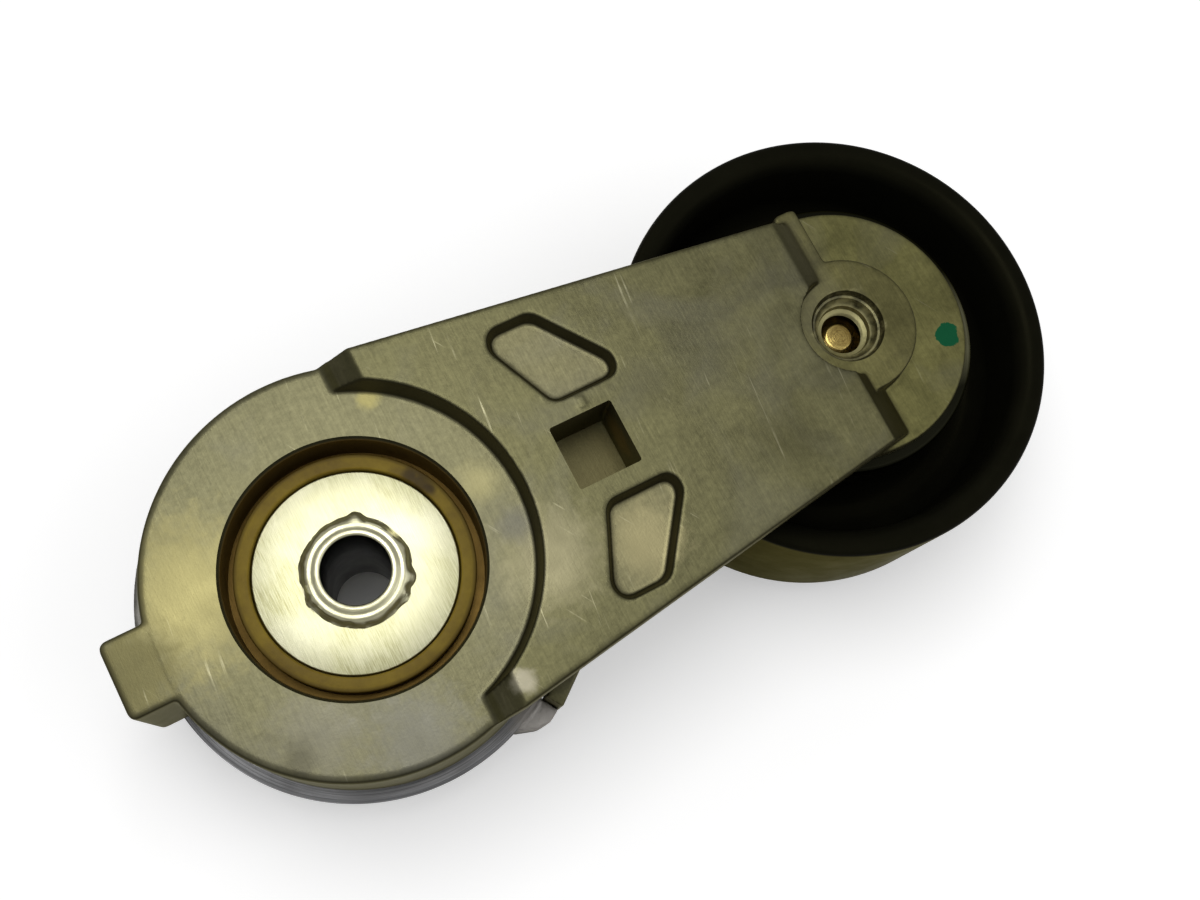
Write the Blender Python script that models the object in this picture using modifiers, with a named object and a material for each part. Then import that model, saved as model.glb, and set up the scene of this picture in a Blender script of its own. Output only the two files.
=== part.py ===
"""Serpentine belt tensioner: spring cup on a fixed base, cast arm, flat-faced idler pulley.

The origin is where the pivot axis meets the mounting face of the base. Z is the pivot axis and
points to the open front of the arm, and X points from the pivot to the pulley axis. Metres.
"""
import math

import bmesh
import bpy
from mathutils import Matrix, Vector

# Fit and smoothness
CLEAR = 0.0003                  # gap left between two pieces that touch
MERGE = 0.00001                 # distance under which doubled points are joined
OVERCUT = 0.001                 # how far a cutter runs past the face it opens
ROUND_STEPS = 2                 # straight pieces in a rounded corner
LARGE_STEPS = 48                # facets round the cups and the pulley
SMALL_STEPS = 30                # facets round bearing and pivot pieces
FINE_STEPS = 20                 # facets round bolts and holes

# Main lengths and levels, counted up from the mounting face
PIVOT_TO_PULLEY = 0.1064
ARM_FACE_Z = 0.0520             # front face of the arm's plate
SPRING_FACE_DROP = 0.0049       # from the plate's face back to the spring end's face
BOSS_DROP = 0.0038              # back to the face of the pulley boss
DISC_DROP = 0.0083              # back to the disc behind the pulley boss
PLATE_THICKNESS = 0.0107
BASE_RIM_Z = 0.0200             # height of the base cup
TRAVEL = math.radians(48.0)     # swing of the arm between its two stops

# Base cup
BASE_RADIUS = 0.0430
BASE_WALL = 0.0070
BASE_FLOOR_Z = 0.0065           # inside of the floor
BASE_FLOOR_THICKNESS = 0.0035
BASE_EDGE_ROUND = 0.0008
FOOT_RADIUS = 0.0210            # ring that is bolted against the engine
HUB_RADIUS = 0.0165             # hub that carries the pivot bushing's flange
BASE_HUB_Z = 0.0130
RIB_COUNT = 6
RIB_WIDTH = 0.0040
RIB_SETBACK = 0.0008            # ribs and pin pad stay this far off the mounting face

# Locating pin
PIN_RADIUS = 0.0040
PIN_PITCH_RADIUS = 0.0310
PIN_ANGLE = math.radians(210.0)
PIN_REACH = 0.0070              # how far it stands out of the mounting face
PIN_SEAT_Z = 0.0050
PIN_PAD_RADIUS = 0.0070
PIN_CHAMFER = 0.0008

# Stops, as angles about the pivot
STOP_RADIUS = 0.0462
STOP_BOTTOM_Z = 0.0090
FREE_STOP_FOOT = math.radians(-71.0)
FREE_STOP_RAMP = math.radians(-65.0)
FREE_STOP_FACE = math.radians(-58.5)
ARM_STOP_BACK = math.radians(-49.0)
ARM_STOP_FOOT = math.radians(-46.0)
ARM_STOP_TOP_Z = 0.0270
LOAD_STOP_WIDTH = math.radians(9.0)

# Pivot tube, bushing, friction ring and thrust plate
TUBE_RADIUS = 0.0095
TUBE_BORE_RADIUS = 0.0065
BUSHING_WALL = 0.0015
BUSHING_FLANGE_THICKNESS = 0.0020
RING_THICKNESS = 0.0015
RING_RADIUS = 0.0224
RING_LIP_HEIGHT = 0.0053        # lip's top above the ring's underside
THRUST_PLATE_RADIUS = 0.0192
THRUST_PLATE_THICKNESS = 0.0025
THRUST_PLATE_CHAMFER = 0.0003
SWAGE_RADIUS = 0.0103
SWAGE_HEIGHT = 0.0018
SWAGE_GROOVE_RADIUS = 0.0086
SWAGE_GROOVE_DEPTH = 0.0005
TUBE_LIP_RADIUS = 0.0077

# Spring end of the arm
CUP_FACE_RADIUS = 0.0386
CUP_SKIRT_RADIUS = 0.0394       # the skirt widens a little towards the base
CUP_WALL = 0.0040
CUP_EDGE_ROUND = 0.0013
CUP_END_THICKNESS = 0.0056
CUP_OPENING_RADIUS = 0.0240
CUP_OPENING_CHAMFER = 0.0006
CUP_OPENING_DEPTH = 0.0107      # down to the seat of the friction ring
CUP_SEAT_THICKNESS = 0.0039
CUP_SEAT_WALL = 0.0035
ARM_HUB_RADIUS = 0.0170

# Plate of the arm
PLATE_NEAR_X = 0.0164           # where the plate's face starts
PLATE_NEAR_HALF_WIDTH = 0.0370
PLATE_FAR_X = 0.1014            # where the plate's face ends
PLATE_FAR_HALF_WIDTH = 0.0248
PLATE_EDGE_ROUND = 0.0010
PLATE_END_SETBACK = 0.0005      # the plate's core ends this far inside the ledge
STEP_TOP_RADIUS = 0.0343        # curved wall between the plate and the spring end's face
STEP_FOOT_RADIUS = 0.0332
NEAR_FACET_RUN = 0.0064         # length of the two sloped facets at its ends

# Wrench socket and the two pockets beside it
SOCKET_X = 0.0493
SOCKET_SIZE = 0.0130            # half-inch square drive
SOCKET_DEPTH = 0.0150
SOCKET_WALL = 0.0032
SOCKET_FLOOR = 0.0030
POCKET_DEPTH = 0.0030
POCKET_ROUND = 0.0018
POCKET_CORNERS = (              # offsets from the socket's centre: along X, along Y
    (-0.0100, 0.0252), (-0.0083, 0.0287), (0.0007, 0.0287),
    (0.0114, 0.0142), (0.0102, 0.0104), (-0.0033, 0.0104))
TICK_WIDTH = 0.0013             # small raised line between the socket and the upper pocket
TICK_HEIGHT = 0.0003

# Underside of the plate
CORE_DEPTH = 0.0050
CORE_WALL = 0.0050
CORE_NEAR_X = 0.0630
CORE_FAR_X = 0.0800
CORE_RIB = 0.0050

# Spring tab of the arm and the like housing on the base
TAB_REACH = 0.0460
TAB_HALF_WIDTH = 0.0075
TAB_ROUND = 0.0015
TAB_SLOT_HALF_WIDTH = 0.0050
TAB_END_WALL = 0.0021
BASE_HOUSING_ANGLE = math.radians(90.0)

# Torsion spring
WIRE_RADIUS = 0.0031
COIL_RADIUS = 0.0309
COIL_BEND_RADIUS = 0.0070
COIL_WHOLE_TURNS = 4
COIL_POINTS_PER_TURN = 20
TANG_ANGLE = math.pi            # the arm's tab lies opposite the pulley
TANG_GAP = 0.0005

# Pulley end of the arm
DISC_RADIUS = 0.0258
BOSS_RADIUS = 0.0140
SPOT_RADIUS = 0.0104
UPPER_FACET_RUN = 0.0046
DISC_THICKNESS = 0.0026
LEDGE_X = 0.1088
LEDGE_HALF_WIDTH = 0.0264
LEDGE_ROUND = 0.0012
BACK_BOSS_RADIUS = 0.0120
BACK_BOSS_LENGTH = 0.0098       # below the disc
MOUTH_RADIUS = 0.0074
MOUTH_DEPTH = 0.0042
THREAD_ROOT_RADIUS = 0.00425    # M10 thread, left as its two plain diameters
THREAD_SHOWING = 0.0024         # thread left empty in front of the bolt's end

# Pulley
PULLEY_RADIUS = 0.0445
PULLEY_WIDTH = 0.0339
PULLEY_BACK_Z = 0.0042
LIP_RADIUS = 0.0396
LIP_LENGTH = 0.0040
LIP_ROUND = 0.0012
RIM_WALL = 0.0032
WEB_Z = 0.0170                  # middle of the web's thickness
WEB_THICKNESS = 0.0036
WEB_ROUND = 0.0050
HUB_WALL = 0.0032
BEARING_SHOULDER = 0.0018

# Ball bearing, 17 x 47 x 14
BEARING_BORE_RADIUS = 0.0085
BEARING_RADIUS = 0.0235
BEARING_WIDTH = 0.0140
BALL_RADIUS = 0.00437
BALL_COUNT = 7
BALL_PITCH_RADIUS = 0.0160
INNER_RING_RADIUS = 0.0130
OUTER_RING_BORE_RADIUS = 0.0190
CAGE_WALL = 0.0024
CAGE_RIM = 0.0006
SEAL_THICKNESS = 0.0010
SEAL_INSET = 0.0003
RACE_STEPS = 5

# Pulley bolt, sleeve and shields
BOLT_RADIUS = 0.0050
BOLT_CHAMFER = 0.0008
BOLT_FLANGE_RADIUS = 0.0105
BOLT_FLANGE_THICKNESS = 0.0020
BOLT_HEAD_FLATS = 0.0150
BOLT_HEAD_HEIGHT = 0.0060
SLEEVE_FLANGE_RADIUS = 0.0110
SLEEVE_FLANGE_THICKNESS = 0.0015
SHIELD_THICKNESS = 0.0012
FRONT_SHIELD_RADIUS = 0.0280
FRONT_SHIELD_DEPTH = 0.0042
REAR_SHIELD_RADIUS = 0.0205
SHIELD_ROUND = 0.0010

# Levels and angles that follow from the sizes above
SPRING_FACE_Z = ARM_FACE_Z - SPRING_FACE_DROP
BOSS_Z = ARM_FACE_Z - BOSS_DROP
DISC_Z = ARM_FACE_Z - DISC_DROP
PLATE_BACK_Z = ARM_FACE_Z - PLATE_THICKNESS
PLATE_END_X = LEDGE_X - PLATE_END_SETBACK
DISC_BACK_Z = DISC_Z - DISC_THICKNESS
SKIRT_Z = BASE_RIM_Z + CLEAR
CUP_INSIDE_Z = SPRING_FACE_Z - CUP_END_THICKNESS
RING_SEAT_Z = SPRING_FACE_Z - CUP_OPENING_DEPTH
SEAT_BACK_Z = RING_SEAT_Z - CUP_SEAT_THICKNESS
RING_Z = RING_SEAT_Z + CLEAR
THRUST_PLATE_Z = RING_Z + RING_THICKNESS + CLEAR
SWAGE_Z = THRUST_PLATE_Z + THRUST_PLATE_THICKNESS + CLEAR
TUBE_TOP_Z = SWAGE_Z + SWAGE_HEIGHT
TUBE_SEAT_RADIUS = TUBE_RADIUS + CLEAR
BUSHING_RADIUS = TUBE_SEAT_RADIUS + BUSHING_WALL
BUSHING_Z = BASE_HUB_Z + CLEAR
ARM_HUB_Z = BUSHING_Z + BUSHING_FLANGE_THICKNESS + CLEAR
BASE_INSIDE_RADIUS = BASE_RADIUS - BASE_WALL
CUP_INSIDE_RADIUS = CUP_SKIRT_RADIUS - CUP_WALL
BASE_BACK_Z = BASE_FLOOR_Z - BASE_FLOOR_THICKNESS
STOP_GAP = CLEAR / STOP_RADIUS
ARM_STOP_FACE = FREE_STOP_FACE + 1.5 * STOP_GAP
LOAD_STOP_FACE = ARM_STOP_FOOT + TRAVEL + 1.5 * STOP_GAP
SLOT_REACH = TAB_REACH - TAB_END_WALL
SPRING_BOTTOM_Z = BASE_FLOOR_Z + CLEAR + WIRE_RADIUS
SPRING_TOP_Z = CUP_INSIDE_Z - CLEAR - WIRE_RADIUS
PULLEY_FRONT_Z = PULLEY_BACK_Z + PULLEY_WIDTH
BACK_BOSS_Z = DISC_BACK_Z - BACK_BOSS_LENGTH
BEARING_FRONT_Z = BACK_BOSS_Z - CLEAR
BEARING_BACK_Z = BEARING_FRONT_Z - BEARING_WIDTH
BEARING_MID_Z = BEARING_FRONT_Z - BEARING_WIDTH / 2
THREAD_TOP_Z = BOSS_Z - MOUTH_DEPTH
BOLT_END_Z = THREAD_TOP_Z - THREAD_SHOWING
BOLT_HOLE_RADIUS = BOLT_RADIUS + CLEAR
SLEEVE_FLANGE_Z = BEARING_BACK_Z - CLEAR - SLEEVE_FLANGE_THICKNESS
REAR_SHIELD_Z = SLEEVE_FLANGE_Z - CLEAR - SHIELD_THICKNESS
BOLT_SEAT_Z = REAR_SHIELD_Z - CLEAR

for leftover in list(bpy.data.objects):
    bpy.data.objects.remove(leftover, do_unlink=True)

parts = bpy.data.collections.new("serpentine_belt_tensioner")
cutters = bpy.data.collections.new("cutters")
for group in (parts, cutters):
    bpy.context.scene.collection.children.link(group)


def empty(name, x, parent=None):
    """A joint axis at x, on which moving pieces hang."""
    axis = bpy.data.objects.new(name, None)
    axis.location.x = x
    axis.parent = parent
    parts.objects.link(axis)
    return axis


def finish(piece, parent, colour, roughness, metallic, x=0.0):
    """Settle the modifiers of a piece, hang it on its axis and give it its material."""
    parts.objects.link(piece)
    bpy.context.view_layer.update()
    graph = bpy.context.evaluated_depsgraph_get()
    if piece.type == 'MESH':
        mesh = bpy.data.meshes.new_from_object(piece.evaluated_get(graph))
        mesh.name = piece.name
        mesh.shade_smooth()
        mesh.set_sharp_from_angle(angle=math.radians(35.0))
        piece.modifiers.clear()
        piece.data = mesh
    material = bpy.data.materials.new(piece.name)
    material.use_nodes = True
    shader = material.node_tree.nodes["Principled BSDF"]
    shader.inputs["Base Color"].default_value = (*colour, 1.0)
    shader.inputs["Roughness"].default_value = roughness
    shader.inputs["Metallic"].default_value = metallic
    piece.data.materials.clear()
    piece.data.materials.append(material)
    piece.parent = parent
    piece.location.x += x
    return piece


def rounded(corners, steps=ROUND_STEPS):
    """Points of an outline whose corners (x, y, radius) are rounded where radius is above zero."""
    points = []
    for index, (x, y, radius) in enumerate(corners):
        corner = Vector((x, y))
        if radius <= 0.0:
            points.append(corner)
            continue
        before = (Vector(corners[index - 1][:2]) - corner).normalized()
        after = (Vector(corners[(index + 1) % len(corners)][:2]) - corner).normalized()
        half = before.angle(after) / 2
        centre = corner + (before + after).normalized() * (radius / math.sin(half))
        first = corner + before * (radius / math.tan(half)) - centre
        last = corner + after * (radius / math.tan(half)) - centre
        start = math.atan2(first.y, first.x)
        sweep = math.remainder(math.atan2(last.y, last.x) - start, math.tau)
        for step in range(steps + 1):
            angle = start + sweep * step / steps
            points.append(centre + radius * Vector((math.cos(angle), math.sin(angle))))
    return points


def polar(radius, angle):
    """A point of a plan outline, given about the pivot."""
    return (radius * math.cos(angle), radius * math.sin(angle))


def turned(name, profile, steps):
    """A turned solid from its half section (radius, z), run down its outer side."""
    mesh = bpy.data.meshes.new(name)
    count = len(profile)
    edges = [(index, index + 1) for index in range(count - 1)]
    if profile[0][0] > 0.0:
        edges.append((count - 1, 0))
    mesh.from_pydata([(radius, 0.0, z) for radius, z in profile], edges, [])
    piece = bpy.data.objects.new(name, mesh)
    screw = piece.modifiers.new("turn", 'SCREW')
    screw.steps = steps
    screw.render_steps = steps
    screw.use_merge_vertices = True
    screw.merge_threshold = MERGE
    return piece


def ring(name, outer, inner, bottom, top, steps):
    """A plain turned ring."""
    return turned(name, ((outer, top), (outer, bottom), (inner, bottom), (inner, top)), steps)


def cylinder(name, radius, bottom, top, steps):
    """A plain turned disc or pin."""
    return turned(name, ((0.0, top), (radius, top), (radius, bottom), (0.0, bottom)), steps)


def arc(x, y, radius, start, end, steps):
    """Points on an arc from one angle to another."""
    points = []
    for step in range(steps + 1):
        angle = start + (end - start) * step / steps
        points.append((x + radius * math.cos(angle), y + radius * math.sin(angle)))
    return points


def extruded(name, outline, bottom, top, edge_round=0.0, draft=1.0):
    """A flat outline (x, y) given a thickness. Its long edges can be rounded, and its lower
    half can be widened by a mould's draft."""
    curve = bpy.data.curves.new(name, 'CURVE')
    curve.dimensions = '2D'
    curve.fill_mode = 'BOTH'
    curve.extrude = (top - bottom) / 2 - edge_round
    curve.bevel_depth = edge_round
    curve.bevel_resolution = 1
    curve.offset = -edge_round
    spline = curve.splines.new('POLY')
    spline.points.add(len(outline) - 1)
    for point, (x, y) in zip(spline.points, outline):
        point.co = (x, y, 0.0, 1.0)
    spline.use_cyclic_u = True
    guide = bpy.data.objects.new(name + "_outline", curve)
    cutters.objects.link(guide)
    bpy.context.view_layer.update()
    graph = bpy.context.evaluated_depsgraph_get()
    mesh = bpy.data.meshes.new_from_object(guide.evaluated_get(graph))
    bpy.data.objects.remove(guide)
    shape = bmesh.new()
    shape.from_mesh(mesh)
    bmesh.ops.remove_doubles(shape, verts=shape.verts, dist=MERGE)
    lower = [vert for vert in shape.verts if vert.co.z < 0.0]
    bmesh.ops.scale(shape, verts=lower, vec=(draft, draft, 1.0))
    bmesh.ops.translate(shape, verts=shape.verts, vec=(0.0, 0.0, (top + bottom) / 2))
    shape.to_mesh(mesh)
    shape.free()
    return bpy.data.objects.new(name, mesh)


def across(piece):
    """Stand a piece that was drawn along X and Z, so that its thickness runs along Y."""
    piece.data.transform(Matrix.Rotation(math.pi / 2, 4, 'X'))
    return piece


def shape_with(piece, tool, operation, turn=0.0, at=(0.0, 0.0)):
    """Cut or join a piece with a tool, which is turned about Z and then moved in plan."""
    tool.rotation_euler.z = turn
    tool.location = (at[0], at[1], 0.0)
    tool.hide_render = True
    tool.display_type = 'WIRE'
    cutters.objects.link(tool)
    boolean = piece.modifiers.new(tool.name, 'BOOLEAN')
    boolean.operation = operation
    boolean.solver = piece.get("solver", 'EXACT')
    boolean.object = tool


def join(piece, tool, turn=0.0, at=(0.0, 0.0)):
    shape_with(piece, tool, 'UNION', turn, at)


def cut(piece, tool, turn=0.0, at=(0.0, 0.0)):
    shape_with(piece, tool, 'DIFFERENCE', turn, at)


def tab_outline(inner):
    """Plan of a housing for a spring end, drawn along +X."""
    return rounded((
        (inner, -TAB_HALF_WIDTH, 0.0), (TAB_REACH, -TAB_HALF_WIDTH, TAB_ROUND),
        (TAB_REACH, TAB_HALF_WIDTH, TAB_ROUND), (inner, TAB_HALF_WIDTH, 0.0)))


def slot_outline(inner):
    """Plan of the room for a spring end inside its housing."""
    return ((inner, -TAB_SLOT_HALF_WIDTH), (SLOT_REACH, -TAB_SLOT_HALF_WIDTH),
            (SLOT_REACH, TAB_SLOT_HALF_WIDTH), (inner, TAB_SLOT_HALF_WIDTH))


def base_casting(parent):
    """Cast cup that is bolted to the engine, with its stops and the housing of a spring end."""
    base = turned("base_casting", rounded((
        (BASE_RADIUS, BASE_RIM_Z, BASE_EDGE_ROUND), (BASE_RADIUS, BASE_BACK_Z, 2 * BASE_EDGE_ROUND),
        (FOOT_RADIUS, BASE_BACK_Z, 0.0), (FOOT_RADIUS, 0.0, 0.0), (TUBE_SEAT_RADIUS, 0.0, 0.0),
        (TUBE_SEAT_RADIUS, BASE_HUB_Z, 0.0), (HUB_RADIUS, BASE_HUB_Z, 0.0),
        (HUB_RADIUS, BASE_FLOOR_Z, 0.0), (BASE_INSIDE_RADIUS, BASE_FLOOR_Z, 2 * BASE_EDGE_ROUND),
        (BASE_INSIDE_RADIUS, BASE_RIM_Z, 0.0))), LARGE_STEPS)

    rib_root = FOOT_RADIUS - BASE_WALL / 2
    rib_end = BASE_RADIUS - BASE_WALL / 2
    rib_top = BASE_FLOOR_Z - BASE_FLOOR_THICKNESS / 2
    for index in range(RIB_COUNT):
        rib = extruded("rib", (
            (rib_root, -RIB_WIDTH / 2), (rib_end, -RIB_WIDTH / 2),
            (rib_end, RIB_WIDTH / 2), (rib_root, RIB_WIDTH / 2)), RIB_SETBACK, rib_top)
        join(base, rib, turn=index * math.tau / RIB_COUNT)

    pin_place = polar(PIN_PITCH_RADIUS, PIN_ANGLE)
    pin_steps = FINE_STEPS
    join(base, cylinder("pin_pad", PIN_PAD_RADIUS, RIB_SETBACK, rib_top, pin_steps), at=pin_place)

    lug_root = BASE_RADIUS - BASE_WALL / 4
    join(base, extruded("free_stop", (
        polar(lug_root, FREE_STOP_FOOT), polar(STOP_RADIUS, FREE_STOP_RAMP),
        polar(STOP_RADIUS, FREE_STOP_FACE), polar(lug_root, FREE_STOP_FACE)),
        STOP_BOTTOM_Z, BASE_RIM_Z - BASE_EDGE_ROUND))
    load_stop_end = LOAD_STOP_FACE + LOAD_STOP_WIDTH
    join(base, extruded("load_stop", (
        polar(lug_root, LOAD_STOP_FACE), polar(STOP_RADIUS, LOAD_STOP_FACE),
        polar(STOP_RADIUS, load_stop_end), polar(lug_root, load_stop_end)),
        STOP_BOTTOM_Z, BASE_RIM_Z - BASE_EDGE_ROUND))

    housing = extruded("base_housing", tab_outline(lug_root), BASE_BACK_Z + BASE_EDGE_ROUND,
                       BASE_RIM_Z - BASE_EDGE_ROUND)
    join(base, housing, turn=BASE_HOUSING_ANGLE)
    slot = extruded("base_slot", slot_outline(BASE_INSIDE_RADIUS - BASE_EDGE_ROUND),
                    BASE_FLOOR_Z - CLEAR, BASE_RIM_Z + OVERCUT)
    cut(base, slot, turn=BASE_HOUSING_ANGLE)

    pin_hole = cylinder("pin_hole", PIN_RADIUS + CLEAR, -OVERCUT, PIN_SEAT_Z + CLEAR, pin_steps)
    cut(base, pin_hole, at=pin_place)
    finish(base, parent, (0.36, 0.36, 0.33), 0.45, 0.9)


def locating_pin(parent):
    """Steel dowel that stops the base from turning on the engine."""
    pin = turned("locating_pin", (
        (0.0, PIN_SEAT_Z), (PIN_RADIUS, PIN_SEAT_Z), (PIN_RADIUS, PIN_CHAMFER - PIN_REACH),
        (PIN_RADIUS - PIN_CHAMFER, -PIN_REACH), (0.0, -PIN_REACH)), FINE_STEPS)
    x, y = polar(PIN_PITCH_RADIUS, PIN_ANGLE)
    pin.location.y = y
    finish(pin, parent, (0.5, 0.5, 0.5), 0.3, 1.0, x=x)


def pivot_tube(parent):
    """Steel tube for the mounting bolt, its front end swaged over the thrust plate."""
    groove = (SWAGE_RADIUS + SWAGE_GROOVE_RADIUS) / 2
    tube = turned("pivot_tube", (
        (TUBE_LIP_RADIUS, TUBE_TOP_Z), (SWAGE_GROOVE_RADIUS, TUBE_TOP_Z - SWAGE_GROOVE_DEPTH),
        (groove, TUBE_TOP_Z - SWAGE_GROOVE_DEPTH), (SWAGE_RADIUS, TUBE_TOP_Z - SWAGE_HEIGHT / 2),
        (SWAGE_RADIUS, SWAGE_Z), (TUBE_RADIUS, SWAGE_Z), (TUBE_RADIUS, 0.0),
        (TUBE_BORE_RADIUS, 0.0), (TUBE_BORE_RADIUS, TUBE_TOP_Z)), SMALL_STEPS)
    finish(tube, parent, (0.6, 0.6, 0.55), 0.3, 1.0)


def thrust_plate(parent):
    """Ground steel plate that holds the arm on its pivot."""
    top = THRUST_PLATE_Z + THRUST_PLATE_THICKNESS
    plate = turned("thrust_plate", (
        (THRUST_PLATE_RADIUS - THRUST_PLATE_CHAMFER, top),
        (THRUST_PLATE_RADIUS, top - THRUST_PLATE_CHAMFER), (THRUST_PLATE_RADIUS, THRUST_PLATE_Z),
        (TUBE_SEAT_RADIUS, THRUST_PLATE_Z), (TUBE_SEAT_RADIUS, top)), LARGE_STEPS)
    finish(plate, parent, (0.75, 0.74, 0.66), 0.25, 1.0)


def pivot_bushing(parent):
    """Flanged plastic sleeve in which the arm's hub turns on the tube."""
    flange_top = BUSHING_Z + BUSHING_FLANGE_THICKNESS
    bushing = turned("pivot_bushing", (
        (BUSHING_RADIUS, RING_SEAT_Z - CLEAR), (BUSHING_RADIUS, flange_top),
        (HUB_RADIUS, flange_top), (HUB_RADIUS, BUSHING_Z), (TUBE_SEAT_RADIUS, BUSHING_Z),
        (TUBE_SEAT_RADIUS, RING_SEAT_Z - CLEAR)), SMALL_STEPS)
    finish(bushing, parent, (0.30, 0.22, 0.10), 0.5, 0.0)


def damper_ring(parent):
    """Amber friction ring between the arm and the thrust plate, with a lip round the plate."""
    floor = RING_Z + RING_THICKNESS
    lip = RING_Z + RING_LIP_HEIGHT
    lip_bore = THRUST_PLATE_RADIUS + CLEAR
    damper = turned("damper_ring", (
        (RING_RADIUS, lip), (RING_RADIUS, RING_Z), (TUBE_SEAT_RADIUS, RING_Z),
        (TUBE_SEAT_RADIUS, floor), (lip_bore, floor), (lip_bore, lip)), LARGE_STEPS)
    finish(damper, parent, (0.15, 0.10, 0.02), 0.45, 0.0)


def torsion_spring(parent):
    """Round-wire torsion spring. One end is bent out into the base and the other into the arm."""
    tang_reach = SLOT_REACH - TANG_GAP
    bend_angle = COIL_BEND_RADIUS / COIL_RADIUS
    start = BASE_HOUSING_ANGLE + bend_angle
    end = TANG_ANGLE + math.tau * COIL_WHOLE_TURNS - bend_angle

    def bend(angle, way, z):
        """Points from the straight tang, round the bend, to the coil."""
        points = [(tang_reach, angle, z)]
        for step in range(5):
            lean = math.pi / 2 * step / 4
            along = COIL_BEND_RADIUS * (1 - math.cos(lean)) / COIL_RADIUS
            out = COIL_BEND_RADIUS * (1 - math.sin(lean))
            points.append((COIL_RADIUS + out, angle + way * along, z))
        return points

    turns = (end - start) / math.tau
    count = round(turns * COIL_POINTS_PER_TURN)
    path = bend(BASE_HOUSING_ANGLE, 1, SPRING_BOTTOM_Z)
    for index in range(1, count):
        share = index / count
        path.append((COIL_RADIUS, start + share * (end - start),
                     SPRING_BOTTOM_Z + share * (SPRING_TOP_Z - SPRING_BOTTOM_Z)))
    path += reversed(bend(TANG_ANGLE + math.tau * COIL_WHOLE_TURNS, -1, SPRING_TOP_Z))

    curve = bpy.data.curves.new("torsion_spring", 'CURVE')
    curve.dimensions = '3D'
    curve.bevel_depth = WIRE_RADIUS
    curve.bevel_resolution = 2
    curve.use_fill_caps = True
    spline = curve.splines.new('POLY')
    spline.points.add(len(path) - 1)
    for point, (radius, angle, z) in zip(spline.points, path):
        point.co = (*polar(radius, angle), z, 1.0)
    finish(bpy.data.objects.new("torsion_spring", curve), parent, (0.12, 0.12, 0.13), 0.4, 0.8)


def plate_half_width(x):
    """Half the plate's width at x, on its tapering sides."""
    share = (x - PLATE_NEAR_X) / (PLATE_FAR_X - PLATE_NEAR_X)
    return PLATE_NEAR_HALF_WIDTH + share * (PLATE_FAR_HALF_WIDTH - PLATE_NEAR_HALF_WIDTH)


def arm_plate():
    """Tapering plate, cleared for the spring end and sloped down to the pulley end."""
    above = ARM_FACE_Z + OVERCUT
    below = PLATE_BACK_Z - OVERCUT
    root_x = PLATE_NEAR_X - NEAR_FACET_RUN
    root_half_width = math.sqrt(CUP_FACE_RADIUS ** 2 - root_x ** 2)
    end_half_width = plate_half_width(PLATE_END_X)
    plate = extruded("arm_casting", (
        (0.0, -root_x), (root_x, -root_half_width), (PLATE_NEAR_X, -PLATE_NEAR_HALF_WIDTH),
        (PLATE_END_X, -end_half_width), (PLATE_END_X, end_half_width),
        (PLATE_NEAR_X, PLATE_NEAR_HALF_WIDTH), (root_x, root_half_width), (0.0, root_x)),
        PLATE_BACK_Z, ARM_FACE_Z, PLATE_EDGE_ROUND)
    plate["solver"] = 'MANIFOLD'    # the arm has too many coaxial tools for the exact solver

    wall_slope = (STEP_TOP_RADIUS - STEP_FOOT_RADIUS) / SPRING_FACE_DROP
    cut(plate, turned("curved_step", (
        (0.0, above), (STEP_TOP_RADIUS + wall_slope * OVERCUT, above),
        (STEP_TOP_RADIUS - wall_slope * (ARM_FACE_Z - below), below), (0.0, below)),
        LARGE_STEPS))

    def facet(name, x, slope, away, near_y, far_y):
        """Cutter whose sloped side passes through the plate's face at x."""
        end_x = x + away * 2 * TAB_REACH
        cut(plate, across(extruded(name, (
            (x - slope * OVERCUT, above), (x + slope * (ARM_FACE_Z - below), below),
            (end_x, below), (end_x, above)), near_y, far_y)))

    side = 2 * PLATE_NEAR_HALF_WIDTH
    facet("near_facets", PLATE_NEAR_X, -NEAR_FACET_RUN / SPRING_FACE_DROP, -1, -side, side)
    cut(plate, cylinder("spot_face", SPOT_RADIUS, below, above, SMALL_STEPS),
        at=(PIVOT_TO_PULLEY, 0.0))
    facet("upper_facet", PLATE_FAR_X, UPPER_FACET_RUN / BOSS_DROP, 1, -side, 0.0)
    facet("lower_facet", PLATE_FAR_X, (PLATE_END_X - PLATE_FAR_X) / DISC_DROP, 1, 0.0, side)
    return plate


def add_spring_cup(arm):
    """Cup with its tab, still solid, and the hub inside it."""
    root = math.asin(TAB_HALF_WIDTH / CUP_FACE_RADIUS)
    rim = arc(0.0, 0.0, CUP_FACE_RADIUS, root - math.pi, math.pi - root, LARGE_STEPS)
    outline = rounded([(x, y, 0.0) for x, y in rim] + [
        (-TAB_REACH, TAB_HALF_WIDTH, TAB_ROUND), (-TAB_REACH, -TAB_HALF_WIDTH, TAB_ROUND)])
    join(arm, extruded("cup", outline, SKIRT_Z, SPRING_FACE_Z, CUP_EDGE_ROUND,
                       draft=CUP_SKIRT_RADIUS / CUP_FACE_RADIUS))
    join(arm, cylinder("hub", ARM_HUB_RADIUS, ARM_HUB_Z, (SKIRT_Z + SEAT_BACK_Z) / 2, SMALL_STEPS))


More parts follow.
